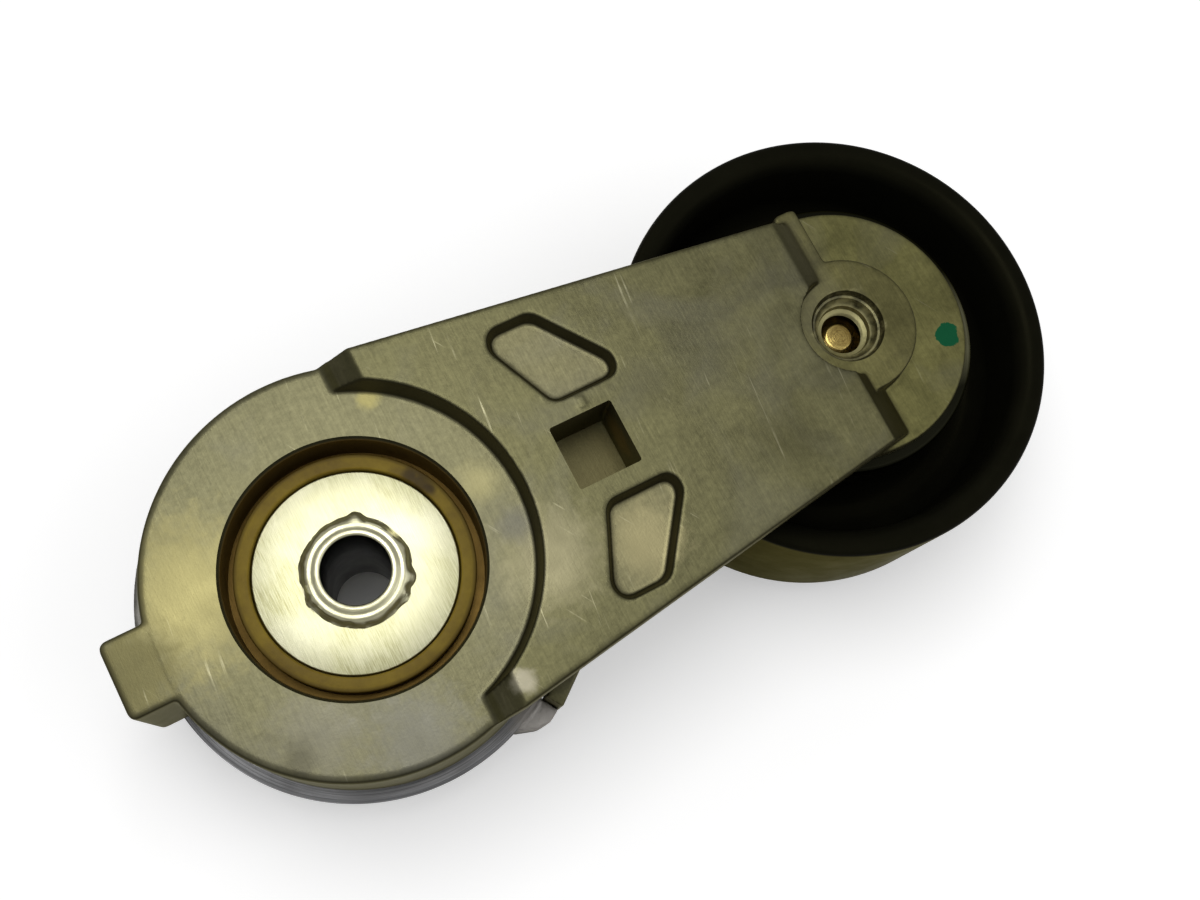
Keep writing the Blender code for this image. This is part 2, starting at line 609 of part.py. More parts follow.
def add_pulley_end(arm):
    """Disc, back boss, and front boss with the ledge that joins it to the plate's edge."""
    at = (PIVOT_TO_PULLEY, 0.0)
    join(arm, cylinder("disc", DISC_RADIUS, DISC_BACK_Z, DISC_Z, LARGE_STEPS), at=at)
    join(arm, cylinder("back_boss", BACK_BOSS_RADIUS, BACK_BOSS_Z, DISC_Z - DISC_THICKNESS / 4,
                       SMALL_STEPS), at=at)
    root_x = PLATE_FAR_X + UPPER_FACET_RUN / 2 - PIVOT_TO_PULLEY
    edge_x = LEDGE_X - PIVOT_TO_PULLEY
    round_boss = arc(0.0, 0.0, BOSS_RADIUS, math.acos(edge_x / BOSS_RADIUS),
                     math.acos(root_x / BOSS_RADIUS) - math.tau, SMALL_STEPS)
    outline = rounded([(x, y, 0.0) for x, y in round_boss] + [
        (root_x, LEDGE_HALF_WIDTH, LEDGE_ROUND), (edge_x, LEDGE_HALF_WIDTH, LEDGE_ROUND)])
    join(arm, extruded("boss", outline, DISC_Z - DISC_THICKNESS / 2, BOSS_Z), at=at)


def add_socket_boss(arm):
    """Thick block behind the plate, into which the wrench socket is cast."""
    half = SOCKET_SIZE / 2 + SOCKET_WALL
    near = CUP_SKIRT_RADIUS - CUP_WALL / 2
    far = SOCKET_X + half
    join(arm, extruded("socket_boss", rounded((
        (near, -half, 0.0), (far, -half, SOCKET_WALL), (far, half, SOCKET_WALL),
        (near, half, 0.0))), ARM_FACE_Z - SOCKET_DEPTH - SOCKET_FLOOR,
        PLATE_BACK_Z + POCKET_DEPTH))


def add_stop(arm):
    """Stop that swings between the base's lugs, hung from the cup's wall."""
    wall = CUP_SKIRT_RADIUS - CUP_WALL / 2
    clear_of_base = BASE_RADIUS + 2 * CLEAR
    root_radius = (clear_of_base + STOP_RADIUS) / 2
    inset = (ARM_STOP_BACK - ARM_STOP_FACE) / 8
    skirt_foot = SKIRT_Z + CLEAR
    root_top = ARM_STOP_TOP_Z - CLEAR
    join(arm, extruded("stop_root", (
        polar(wall, ARM_STOP_FACE + inset), polar(root_radius, ARM_STOP_FACE + inset),
        polar(root_radius, ARM_STOP_BACK - inset), polar(wall, ARM_STOP_BACK - inset)),
        skirt_foot, root_top))
    join(arm, extruded("stop_tip", (
        polar(clear_of_base, ARM_STOP_FACE), polar(STOP_RADIUS, ARM_STOP_FACE),
        polar(STOP_RADIUS, ARM_STOP_BACK), polar(clear_of_base, ARM_STOP_FOOT)),
        STOP_BOTTOM_Z, ARM_STOP_TOP_Z))


def cut_spring_end(arm):
    """Room for the spring, opening with the ring seat, hub bore and slot for the spring's end."""
    seat_radius = CUP_OPENING_RADIUS + CUP_SEAT_WALL
    below = SKIRT_Z - OVERCUT
    cut(arm, turned("spring_room", rounded((
        (CUP_INSIDE_RADIUS, CUP_INSIDE_Z, CUP_EDGE_ROUND), (CUP_INSIDE_RADIUS, below, 0.0),
        (ARM_HUB_RADIUS, below, 0.0), (ARM_HUB_RADIUS, SEAT_BACK_Z, 0.0),
        (seat_radius, SEAT_BACK_Z, CUP_EDGE_ROUND), (seat_radius, CUP_INSIDE_Z, 0.0))),
        LARGE_STEPS))
    above = SPRING_FACE_Z + OVERCUT
    edge = CUP_OPENING_RADIUS + CUP_OPENING_CHAMFER
    cut(arm, turned("front_opening", (
        (0.0, above), (edge + OVERCUT, above), (CUP_OPENING_RADIUS, SPRING_FACE_Z - CUP_OPENING_CHAMFER),
        (CUP_OPENING_RADIUS, RING_SEAT_Z), (0.0, RING_SEAT_Z)), LARGE_STEPS))
    cut(arm, cylinder("hub_bore", BUSHING_RADIUS + CLEAR, ARM_HUB_Z - OVERCUT,
                      RING_SEAT_Z + OVERCUT, SMALL_STEPS))
    cut(arm, extruded("tab_slot", slot_outline(CUP_INSIDE_RADIUS - CUP_WALL / 2), below,
                      CUP_INSIDE_Z), turn=TANG_ANGLE)


def cut_plate(arm):
    """Square wrench socket, the two pockets and the hollow in the plate's back."""
    above = ARM_FACE_Z + OVERCUT
    half = SOCKET_SIZE / 2
    cut(arm, extruded("socket", (
        (SOCKET_X - half, -half), (SOCKET_X + half, -half), (SOCKET_X + half, half),
        (SOCKET_X - half, half)), ARM_FACE_Z - SOCKET_DEPTH, above))
    for name, side in (("upper_pocket", 1), ("lower_pocket", -1)):
        corners = [(SOCKET_X + x, side * y, POCKET_ROUND) for x, y in POCKET_CORNERS]
        cut(arm, extruded(name, rounded(corners), ARM_FACE_Z - POCKET_DEPTH, above))
    for name, side in (("upper_core", 1), ("lower_core", -1)):
        near = plate_half_width(CORE_NEAR_X) - CORE_WALL
        far = plate_half_width(CORE_FAR_X) - CORE_WALL
        corners = ((CORE_NEAR_X, side * CORE_RIB / 2, POCKET_ROUND),
                   (CORE_FAR_X, side * CORE_RIB / 2, POCKET_ROUND),
                   (CORE_FAR_X, side * far, POCKET_ROUND), (CORE_NEAR_X, side * near, POCKET_ROUND))
        cut(arm, extruded(name, rounded(corners), PLATE_BACK_Z - OVERCUT,
                          PLATE_BACK_Z + CORE_DEPTH))


def cut_bolt_hole(arm):
    """Stepped mouth and threaded hole through the pulley boss."""
    above = BOSS_Z + OVERCUT
    steps = [(MOUTH_RADIUS, 0.0), (MOUTH_RADIUS - 0.0006, 0.3), (MOUTH_RADIUS - 0.0010, 0.36),
             (MOUTH_RADIUS - 0.0016, 0.66), (MOUTH_RADIUS - 0.0021, 0.74),
             (MOUTH_RADIUS - 0.0024, 1.0)]
    mouth = [(radius, BOSS_Z - depth * MOUTH_DEPTH) for radius, depth in steps]
    thread_foot = BOLT_END_Z + CLEAR
    cut(arm, turned("bolt_hole", [(0.0, above), (MOUTH_RADIUS, above), *mouth[1:],
                                  (THREAD_ROOT_RADIUS, THREAD_TOP_Z),
                                  (THREAD_ROOT_RADIUS, thread_foot),
                                  (BOLT_HOLE_RADIUS, thread_foot),
                                  (BOLT_HOLE_RADIUS, BACK_BOSS_Z - OVERCUT),
                                  (0.0, BACK_BOSS_Z - OVERCUT)], FINE_STEPS),
        at=(PIVOT_TO_PULLEY, 0.0))


def arm_casting(parent):
    """One-piece aluminium arm: spring cup, plate with socket and pockets, and pulley end."""
    arm = arm_plate()
    add_spring_cup(arm)
    add_pulley_end(arm)
    add_socket_boss(arm)
    add_stop(arm)
    cut_spring_end(arm)
    cut_plate(arm)
    cut_bolt_hole(arm)
    tick_foot = SOCKET_X + TICK_WIDTH / 2
    gap = POCKET_CORNERS[-1][1] - SOCKET_SIZE / 2
    tick_middle = SOCKET_SIZE / 2 + gap / 2
    join(arm, extruded("tick", (
        (tick_foot, tick_middle - gap / 4), (tick_foot + TICK_WIDTH, tick_middle - gap / 4),
        (tick_foot + TICK_WIDTH, tick_middle + gap / 4), (tick_foot, tick_middle + gap / 4)),
        ARM_FACE_Z - TICK_HEIGHT, ARM_FACE_Z + TICK_HEIGHT))
    finish(arm, parent, (0.26, 0.25, 0.19), 0.42, 0.9)


def pulley_bolt(parent):
    """M10 flange bolt, put in from the back and screwed into the arm."""
    seat = BOLT_SEAT_Z
    flange_foot = seat - BOLT_FLANGE_THICKNESS
    bolt = turned("pulley_bolt", (
        (0.0, BOLT_END_Z), (THREAD_ROOT_RADIUS, BOLT_END_Z),
        (BOLT_RADIUS, BOLT_END_Z - BOLT_CHAMFER), (BOLT_RADIUS, seat),
        (BOLT_FLANGE_RADIUS, seat), (BOLT_FLANGE_RADIUS, seat - BOLT_FLANGE_THICKNESS / 2),
        (BOLT_HEAD_FLATS / 2, flange_foot), (0.0, flange_foot)), FINE_STEPS)
    corner = BOLT_HEAD_FLATS / math.sqrt(3)
    hexagon = [polar(corner, math.radians(60 * side)) for side in range(6)]
    join(bolt, extruded("hexagon", hexagon, flange_foot - BOLT_HEAD_HEIGHT, seat - CLEAR))
    finish(bolt, parent, (0.35, 0.32, 0.2), 0.35, 1.0, x=PIVOT_TO_PULLEY)


def bearing_sleeve(parent):
    """Flanged steel sleeve that fills the bearing's bore round the bolt."""
    sleeve = turned("bearing_sleeve", (
        (BEARING_BORE_RADIUS - CLEAR, BEARING_FRONT_Z),
        (BEARING_BORE_RADIUS - CLEAR, SLEEVE_FLANGE_Z + SLEEVE_FLANGE_THICKNESS),
        (SLEEVE_FLANGE_RADIUS, SLEEVE_FLANGE_Z + SLEEVE_FLANGE_THICKNESS),
        (SLEEVE_FLANGE_RADIUS, SLEEVE_FLANGE_Z), (BOLT_HOLE_RADIUS, SLEEVE_FLANGE_Z),
        (BOLT_HOLE_RADIUS, BEARING_FRONT_Z)), SMALL_STEPS)
    finish(sleeve, parent, (0.5, 0.5, 0.5), 0.35, 1.0, x=PIVOT_TO_PULLEY)


def race(edge_radius, depth_radius):
    """Groove of a bearing ring as (radius, z), cut from edge_radius to depth_radius."""
    groove = BALL_RADIUS + CLEAR
    reach = abs(edge_radius - BALL_PITCH_RADIUS)
    half = math.acos(reach / groove)
    side = 1 if depth_radius > BALL_PITCH_RADIUS else -1
    points = []
    for step in range(RACE_STEPS + 1):
        angle = half * (1 - 2 * step / RACE_STEPS)
        points.append((BALL_PITCH_RADIUS + side * groove * math.cos(angle),
                       BEARING_MID_Z + groove * math.sin(angle)))
    return points


def bearing_inner_ring(parent):
    """Inner bearing ring with its ball race."""
    groove = race(INNER_RING_RADIUS, BEARING_BORE_RADIUS)
    inner = turned("bearing_inner_ring", [
        (INNER_RING_RADIUS, BEARING_FRONT_Z), *groove, (INNER_RING_RADIUS, BEARING_BACK_Z),
        (BEARING_BORE_RADIUS, BEARING_BACK_Z), (BEARING_BORE_RADIUS, BEARING_FRONT_Z)],
        SMALL_STEPS)
    finish(inner, parent, (0.55, 0.55, 0.56), 0.2, 1.0, x=PIVOT_TO_PULLEY)


def bearing_outer_ring(parent):
    """Outer bearing ring, pressed into the pulley's hub."""
    groove = race(OUTER_RING_BORE_RADIUS, BEARING_RADIUS)
    outer = turned("bearing_outer_ring", [
        (BEARING_RADIUS, BEARING_FRONT_Z), (BEARING_RADIUS, BEARING_BACK_Z),
        (OUTER_RING_BORE_RADIUS, BEARING_BACK_Z), *reversed(groove),
        (OUTER_RING_BORE_RADIUS, BEARING_FRONT_Z)], SMALL_STEPS)
    finish(outer, parent, (0.55, 0.55, 0.56), 0.2, 1.0)


def bearing_seal(name, bottom, parent):
    """Thin seal between the two bearing rings."""
    seal = ring(name, OUTER_RING_BORE_RADIUS - CLEAR, INNER_RING_RADIUS + CLEAR, bottom,
                bottom + SEAL_THICKNESS, SMALL_STEPS)
    finish(seal, parent, (0.03, 0.03, 0.03), 0.6, 0.0)


def ball_cage(parent):
    """Ring that keeps the balls apart, with a round window for each ball."""
    half_height = BALL_RADIUS + CLEAR + CAGE_RIM
    cage = ring("ball_cage", BALL_PITCH_RADIUS + CAGE_WALL / 2, BALL_PITCH_RADIUS - CAGE_WALL / 2,
                BEARING_MID_Z - half_height, BEARING_MID_Z + half_height, SMALL_STEPS)
    for index in range(BALL_COUNT):
        window = cylinder("window", BALL_RADIUS + CLEAR, BALL_PITCH_RADIUS - 2 * CAGE_WALL,
                          BALL_PITCH_RADIUS + 2 * CAGE_WALL, FINE_STEPS)
        lie_down = Matrix.Rotation(math.pi / 2, 4, 'Y')
        window.rotation_euler = lie_down.to_euler()
        cutters.objects.link(window)
        bpy.context.view_layer.update()
        graph = bpy.context.evaluated_depsgraph_get()
        mesh = bpy.data.meshes.new_from_object(window.evaluated_get(graph))
        mesh.transform(Matrix.Translation((0.0, 0.0, BEARING_MID_Z)) @ lie_down)
        bpy.data.objects.remove(window)
        cut(cage, bpy.data.objects.new("window", mesh), turn=index * math.tau / BALL_COUNT)
    finish(cage, parent, (0.45, 0.38, 0.2), 0.4, 0.8)


def ball(index, mesh, parent):
    """One bearing ball."""
    angle = index * math.tau / BALL_COUNT
    sphere = bpy.data.objects.new("ball_%d" % (index + 1), mesh)
    x, y = polar(BALL_PITCH_RADIUS, angle)
    sphere.location = (x, y, BEARING_MID_Z)
    finish(sphere, parent, (0.6, 0.6, 0.62), 0.1, 1.0)


def ball_mesh():
    shape = bmesh.new()
    bmesh.ops.create_uvsphere(shape, u_segments=12, v_segments=8, radius=BALL_RADIUS)
    mesh = bpy.data.meshes.new("ball")
    shape.to_mesh(mesh)
    shape.free()
    return mesh


def front_dust_shield(parent):
    """Pressed steel shield behind the arm's disc, its edge turned back over the bearing."""
    top = DISC_BACK_Z - CLEAR
    foot = top - FRONT_SHIELD_DEPTH
    bore = BACK_BOSS_RADIUS + CLEAR
    inner_edge = FRONT_SHIELD_RADIUS - SHIELD_THICKNESS
    under = top - SHIELD_THICKNESS
    shield = turned("front_dust_shield", rounded((
        (bore, top, 0.0), (FRONT_SHIELD_RADIUS, top, SHIELD_ROUND),
        (FRONT_SHIELD_RADIUS, foot, 0.0), (inner_edge, foot, 0.0), (inner_edge, under, 0.0),
        (bore, under, 0.0))), LARGE_STEPS)
    finish(shield, parent, (0.2, 0.19, 0.14), 0.35, 1.0, x=PIVOT_TO_PULLEY)


def rear_dust_shield(parent):
    """Thin cover plate that the bolt clamps over the back of the bearing."""
    top = REAR_SHIELD_Z + SHIELD_THICKNESS
    shield = turned("rear_dust_shield", (
        (REAR_SHIELD_RADIUS, top), (REAR_SHIELD_RADIUS, REAR_SHIELD_Z + SHIELD_THICKNESS / 4),
        (REAR_SHIELD_RADIUS - SHIELD_THICKNESS / 2, REAR_SHIELD_Z),
        (BOLT_HOLE_RADIUS, REAR_SHIELD_Z), (BOLT_HOLE_RADIUS, top)), SMALL_STEPS)
    finish(shield, parent, (0.4, 0.4, 0.38), 0.35, 1.0, x=PIVOT_TO_PULLEY)


def pulley_shell(parent):
    """Black steel idler with a smooth belt face, rolled lips, a deep web and a bearing hub."""
    rim_inside = PULLEY_RADIUS - RIM_WALL
    hub_inside = BEARING_RADIUS + CLEAR
    hub_outside = hub_inside + HUB_WALL
    web_front = WEB_Z + WEB_THICKNESS / 2
    web_back = WEB_Z - WEB_THICKNESS / 2
    shoulder_bore = hub_inside - BEARING_SHOULDER
    shoulder_top = BEARING_BACK_Z - CLEAR
    shoulder_foot = shoulder_top - BEARING_SHOULDER
    front_lip = PULLEY_FRONT_Z - LIP_LENGTH
    back_lip = PULLEY_BACK_Z + LIP_LENGTH
    lip_ramp = rim_inside - LIP_RADIUS
    shell = turned("pulley_shell", rounded((
        (PULLEY_RADIUS, PULLEY_FRONT_Z, LIP_ROUND), (PULLEY_RADIUS, PULLEY_BACK_Z, LIP_ROUND),
        (LIP_RADIUS, PULLEY_BACK_Z, LIP_ROUND), (LIP_RADIUS, back_lip, 0.0),
        (rim_inside, back_lip + lip_ramp, 0.0), (rim_inside, web_back, 0.0),
        (hub_outside, web_back, 0.0), (hub_outside - HUB_WALL / 2, shoulder_foot, 0.0),
        (shoulder_bore, shoulder_foot, 0.0), (shoulder_bore, shoulder_top, 0.0),
        (hub_inside, shoulder_top, 0.0), (hub_inside, BEARING_FRONT_Z, 0.0),
        (hub_outside, BEARING_FRONT_Z, LIP_ROUND), (hub_outside, web_front, WEB_ROUND),
        (rim_inside, web_front, WEB_ROUND), (rim_inside, front_lip - lip_ramp, 0.0),
        (LIP_RADIUS, front_lip, 0.0), (LIP_RADIUS, PULLEY_FRONT_Z, LIP_ROUND))), LARGE_STEPS)
    finish(shell, parent, (0.01, 0.01, 0.01), 0.3, 0.0)


def build():
    """Fixed pieces first, then what swings with the arm, then what spins with the pulley."""
    arm_axis = empty("arm_pivot", 0.0)
    pulley_axis = empty("pulley_spin", PIVOT_TO_PULLEY, arm_axis)
    cage_axis = empty("cage_spin", PIVOT_TO_PULLEY, arm_axis)

    base_casting(None)
    locating_pin(None)
    pivot_tube(None)
    thrust_plate(None)
    pivot_bushing(None)

    arm_casting(arm_axis)
    damper_ring(arm_axis)
    torsion_spring(arm_axis)
    pulley_bolt(arm_axis)
    bearing_sleeve(arm_axis)
    bearing_inner_ring(arm_axis)
    front_dust_shield(arm_axis)
    rear_dust_shield(arm_axis)

    pulley_shell(pulley_axis)
    bearing_outer_ring(pulley_axis)
    bearing_seal("bearing_seal_front", BEARING_FRONT_Z - SEAL_INSET - SEAL_THICKNESS, pulley_axis)
    bearing_seal("bearing_seal_rear", BEARING_BACK_Z + SEAL_INSET, pulley_axis)

    ball_cage(cage_axis)
    mesh = ball_mesh()
    for index in range(BALL_COUNT):
        ball(index, mesh, cage_axis)


build()
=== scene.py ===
"""Serpentine belt tensioner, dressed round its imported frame. Metres, in the frame's own axes."""
import math

import bpy
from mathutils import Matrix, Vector


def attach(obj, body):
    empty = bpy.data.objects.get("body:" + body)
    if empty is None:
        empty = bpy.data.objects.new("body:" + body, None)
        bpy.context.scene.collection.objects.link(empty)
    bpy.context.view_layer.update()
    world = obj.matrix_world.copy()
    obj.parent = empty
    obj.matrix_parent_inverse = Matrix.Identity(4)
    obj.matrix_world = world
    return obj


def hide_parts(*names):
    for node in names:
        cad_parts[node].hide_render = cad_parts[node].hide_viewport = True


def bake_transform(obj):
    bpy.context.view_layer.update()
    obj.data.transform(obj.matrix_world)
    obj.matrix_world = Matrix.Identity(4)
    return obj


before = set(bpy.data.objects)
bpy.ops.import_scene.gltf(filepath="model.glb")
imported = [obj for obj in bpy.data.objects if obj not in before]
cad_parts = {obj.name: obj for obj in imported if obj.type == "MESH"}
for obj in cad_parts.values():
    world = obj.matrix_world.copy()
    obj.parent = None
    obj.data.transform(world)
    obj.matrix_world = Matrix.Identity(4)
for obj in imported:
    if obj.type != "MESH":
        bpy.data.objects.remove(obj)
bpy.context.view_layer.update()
bpy.ops.object.select_all(action='DESELECT')


# ---- Arm: the blank ----
# The arm is one aluminium die casting: a round spring cup with a tab, a tapering plate that
# stands above it, and a stepped end that carries the pulley. It is put together here from
# plain blanks, which the casting skin further down melts into one.

def box_blank(name, low, high):
    """A square blank between two opposite corners."""
    bpy.ops.mesh.primitive_cube_add(size=1.0)
    blank = bpy.context.object
    blank.name = name
    blank.location = (Vector(low) + Vector(high)) / 2
    blank.scale = Vector(high) - Vector(low)
    bpy.ops.object.transform_apply()
    return blank


def round_blank(name, radius, bottom, top, x=0.0, top_radius=None, facets=144, y=0.0):
    """A round blank that stands on its end, a little conical where top_radius is given."""
    bpy.ops.mesh.primitive_cone_add(
        vertices=facets, radius1=radius, radius2=top_radius or radius, depth=top - bottom,
        location=(x, y, (top + bottom) / 2))
    blank = bpy.context.object
    blank.name = name
    bpy.ops.object.transform_apply()
    return blank


SAW_GAP = 0.000005


def sawn(blank, point, outward):
    """Saws off what lies outside a plane through the point."""
    bpy.ops.object.mode_set(mode='EDIT')
    bpy.ops.mesh.select_all(action='SELECT')
    bpy.ops.mesh.bisect(plane_co=point, plane_no=Vector(outward).normalized(), use_fill=True,
                        clear_outer=True, threshold=SAW_GAP)
    bpy.ops.object.mode_set(mode='OBJECT')


def eased(blank, width, test, segments=4):
    """Rounds the edges that the test accepts, which is given their middle and direction."""
    bpy.ops.object.mode_set(mode='EDIT')
    bpy.ops.mesh.select_mode(type='EDGE')
    bpy.ops.mesh.select_all(action='DESELECT')
    bpy.ops.object.mode_set(mode='OBJECT')
    points = blank.data.vertices
    for edge in blank.data.edges:
        start, end = (points[index].co for index in edge.vertices)
        edge.select = test((start + end) / 2, (end - start).normalized())
    bpy.ops.object.mode_set(mode='EDIT')
    bpy.ops.mesh.bevel(offset=width, segments=segments, affect='EDGES', clamp_overlap=False)
    bpy.ops.object.mode_set(mode='OBJECT')


def upright(middle, direction):
    """Whether an edge stands upright, wherever its middle is."""
    return abs(direction.z) > 0.9


WELD = 0.000002


def turned_blank(name, profile, x=0.0, y=0.0, facets=144):
    """A turned blank from its half section (radius, height), drawn point by point and spun."""
    bpy.ops.mesh.primitive_plane_add(size=0.001)
    blank = bpy.context.object
    blank.name = name
    bpy.ops.object.mode_set(mode='EDIT')
    bpy.ops.mesh.select_mode(type='VERT')
    bpy.ops.mesh.select_all(action='SELECT')
    bpy.ops.mesh.merge(type='CENTER')
    first = Vector((profile[0][0], 0.0, profile[0][1]))
    bpy.ops.transform.translate(value=first)
    here = first
    for radius, height in profile[1:]:
        there = Vector((radius, 0.0, height))
        bpy.ops.mesh.extrude_region_move(TRANSFORM_OT_translate={"value": there - here})
        here = there
    ends_on_axis = min(profile[0][0], profile[-1][0]) == 0.0
    if not ends_on_axis:
        bpy.ops.mesh.extrude_region_move(TRANSFORM_OT_translate={"value": first - here})
    bpy.ops.mesh.select_all(action='SELECT')
    bpy.ops.mesh.remove_doubles(threshold=WELD)
    bpy.ops.mesh.select_all(action='SELECT')
    bpy.ops.mesh.spin(steps=facets, angle=math.tau, center=(0.0, 0.0, 0.0), axis=(0.0, 0.0, 1.0))
    bpy.ops.mesh.select_all(action='SELECT')
    bpy.ops.mesh.remove_doubles(threshold=WELD)
    bpy.ops.mesh.normals_make_consistent(inside=False)
    bpy.ops.transform.translate(value=(x, y, 0.0))
    bpy.ops.object.mode_set(mode='OBJECT')
    return blank


def picked(piece):
    """Makes a piece the one that the next operators work on."""
    bpy.ops.object.select_all(action='DESELECT')
    bpy.context.view_layer.objects.active = piece
    piece.select_set(True)


def modified(piece, kind, **settings):
    """Puts one modifier on a piece and applies it."""
    picked(piece)
    bpy.ops.object.modifier_add(type=kind)
    modifier = piece.modifiers[-1]
    for key, value in settings.items():
        setattr(modifier, key, value)
    bpy.ops.object.modifier_apply(modifier=modifier.name)


def worked(piece, tool, operation='DIFFERENCE'):
    """Cuts a piece with a tool, or melts the tool into it."""
    modified(piece, 'BOOLEAN', operation=operation, solver='MANIFOLD', object=tool)
    bpy.data.objects.remove(tool)


# Heights over the engine's pad, places along the arm, and the slack for finding top edges.
ARM_FACE, CUP_FACE, BOSS_FACE, DISC_FACE = 0.0520, 0.0471, 0.0482, 0.0437
PLATE_BACK, SKIRT = 0.0413, 0.0203
PLATE_START, SOCKET_X, PLATE_END, PULLEY_X = 0.0164, 0.0493, 0.1014, 0.1064
PLATE_HALF_WIDTH = 0.0370
HAIR = 0.0001

# The plate's two halves are alike but for the slope at their ends.
side_slope = Vector((0.0122, 0.0850, 0.0))
halves = []
for side, end_slope in ((1, Vector((0.0038, 0.0, 0.0046))), (-1, Vector((0.0083, 0.0, 0.0069)))):
    half = box_blank("plate", (0.0, min(-0.0005, side * 0.040), PLATE_BACK),
                     (0.1083, max(0.0005, side * 0.040), ARM_FACE))
    corner = Vector((PLATE_START, side * PLATE_HALF_WIDTH, 0.0))
    sawn(half, corner, (side_slope.x, side * side_slope.y, 0.0))
    sawn(half, corner, (0.0437, side, 0.0))
    sawn(half, (PLATE_START, 0.0, ARM_FACE), (-0.0049, 0.0, 0.0064))
    sawn(half, (PLATE_END, 0.0, ARM_FACE), end_slope)
    eased(half, 0.0009, lambda middle, direction: abs(middle.y) > 0.0245
          and middle.z > ARM_FACE - HAIR and abs(direction.x) > 0.9)
    halves.append(half)
arm, lower_half = halves
worked(arm, lower_half, 'UNION')
arm.name = "arm"

worked(arm, round_blank("curved_step", 0.03195, PLATE_BACK - 0.0002, ARM_FACE + 0.0010,
                        top_radius=0.03452, facets=192))
worked(arm, round_blank("spot_face", 0.0104, PLATE_BACK - 0.001, ARM_FACE + 0.001, x=PULLEY_X,
                        facets=96))

cup = round_blank("cup", 0.0394, SKIRT, CUP_FACE, top_radius=0.0386, facets=192)
eased(cup, 0.0013, lambda middle, direction: middle.z > CUP_FACE - HAIR)
worked(arm, cup, 'UNION')
tab = box_blank("tab", (-0.0462, -0.0076, SKIRT), (-0.0300, 0.0076, CUP_FACE - 0.00005))
eased(tab, 0.0015, lambda middle, direction: upright(middle, direction) and middle.x < -0.04)
eased(tab, 0.0008, lambda middle, direction: middle.z > CUP_FACE - 2 * HAIR and middle.x < -0.031)
worked(arm, tab, 'UNION')
worked(arm, round_blank("hub", 0.0170, 0.0156, 0.0264, facets=96), 'UNION')

disc = round_blank("disc", 0.0258, 0.0411, DISC_FACE, x=PULLEY_X, facets=160)
eased(disc, 0.0005, lambda middle, direction: middle.z > DISC_FACE - HAIR)
worked(arm, disc, 'UNION')
worked(arm, round_blank("back_boss", 0.0120, 0.0313, 0.0430, x=PULLEY_X, facets=96), 'UNION')
worked(arm, round_blank("boss", 0.0140, 0.0424, BOSS_FACE, x=PULLEY_X, facets=128), 'UNION')
ledge = box_blank("ledge", (0.1037, 0.0, 0.04245), (0.1088, 0.0264, BOSS_FACE - 0.00002))
eased(ledge, 0.0012, lambda middle, direction: upright(middle, direction) and middle.y > 0.02)
worked(arm, ledge, 'UNION')

socket_boss = box_blank("socket_boss", (0.0374, -0.0097, 0.0340), (0.0590, 0.0097, 0.0443))
eased(socket_boss, 0.0030, lambda middle, direction: upright(middle, direction)
      and middle.x > 0.05)
worked(arm, socket_boss, 'UNION')

# The stop that swings between the lugs of the base, hung from the cup's wall.
STOP_RADIUS = 0.0462
for inner, outer, first, last, foot, top in (
        (0.0374, 0.0449, -57.0, -50.0, 0.0206, 0.0267),
        (0.0424, STOP_RADIUS, -58.30, -46.6, 0.0090, 0.0270)):
    stop = box_blank("stop", (0.0, -0.05, foot), (0.05, 0.0, top))
    for angle, way in ((math.radians(first), -1), (math.radians(last), 1)):
        sawn(stop, (0.0, 0.0, 0.0), (-way * math.sin(angle), way * math.cos(angle), 0.0))
    middle = math.radians((first + last) / 2)
    outward = Vector((math.cos(middle), math.sin(middle), 0.0))
    sawn(stop, outward * outer, outward)
    sawn(stop, outward * inner, -outward)
    worked(arm, stop, 'UNION')

# ---- Arm: the hollows that are cast in it ----
# The two pockets beside the wrench square have leaning walls and round corners, as the die
# leaves them. The room for the spring and the slot for its end are open to the back.
CORNERS = ((-0.0100, 0.0252), (-0.0083, 0.0287), (0.0007, 0.0287),
           (0.0114, 0.0142), (0.0102, 0.0104), (-0.0033, 0.0104))
for name, side in (("upper_pocket", 1), ("lower_pocket", -1)):
    pocket = box_blank(name, (0.030, side * 0.020 - 0.018, ARM_FACE - 0.0030),
                       (0.070, side * 0.020 + 0.018, ARM_FACE + 0.0010))
    for index, (x, y) in enumerate(CORNERS):
        start = Vector((SOCKET_X + x, side * y, 0.0))
        next_x, next_y = CORNERS[(index + 1) % len(CORNERS)]
        along = Vector((SOCKET_X + next_x, side * next_y, 0.0)) - start
        outward = Vector((-along.y, along.x, 0.0)).normalized() * side
        leaning = outward - Vector((0.0, 0.0, 0.30))
        sawn(pocket, start + Vector((0.0, 0.0, ARM_FACE)), leaning)
    eased(pocket, 0.0016, lambda middle, direction: abs(direction.z) > 0.7)
    worked(arm, pocket)

room = turned_blank("spring_room", (
    (0.0350, 0.0415), (0.0354, 0.0411), (0.0354, 0.0190), (0.0170, 0.0190), (0.0170, 0.0325),
    (0.0272, 0.0325), (0.0275, 0.0328), (0.0275, 0.0415)), facets=160)
worked(arm, room)
worked(arm, box_blank("tab_slot", (-0.0439, -0.0050, 0.0190), (-0.0334, 0.0050, 0.0414)))
# Two cores save weight in the plate's back.
for side in (1, -1):
    core = box_blank("core", (0.0630, min(side * 0.0025, side * 0.026), PLATE_BACK - 0.001),
                     (0.0800, max(side * 0.0025, side * 0.026), PLATE_BACK + 0.0050))
    sawn(core, (0.0630, side * 0.0253, 0.0), (side_slope.x, side * side_slope.y, 0.0))
    eased(core, 0.0016, upright)
    worked(arm, core)
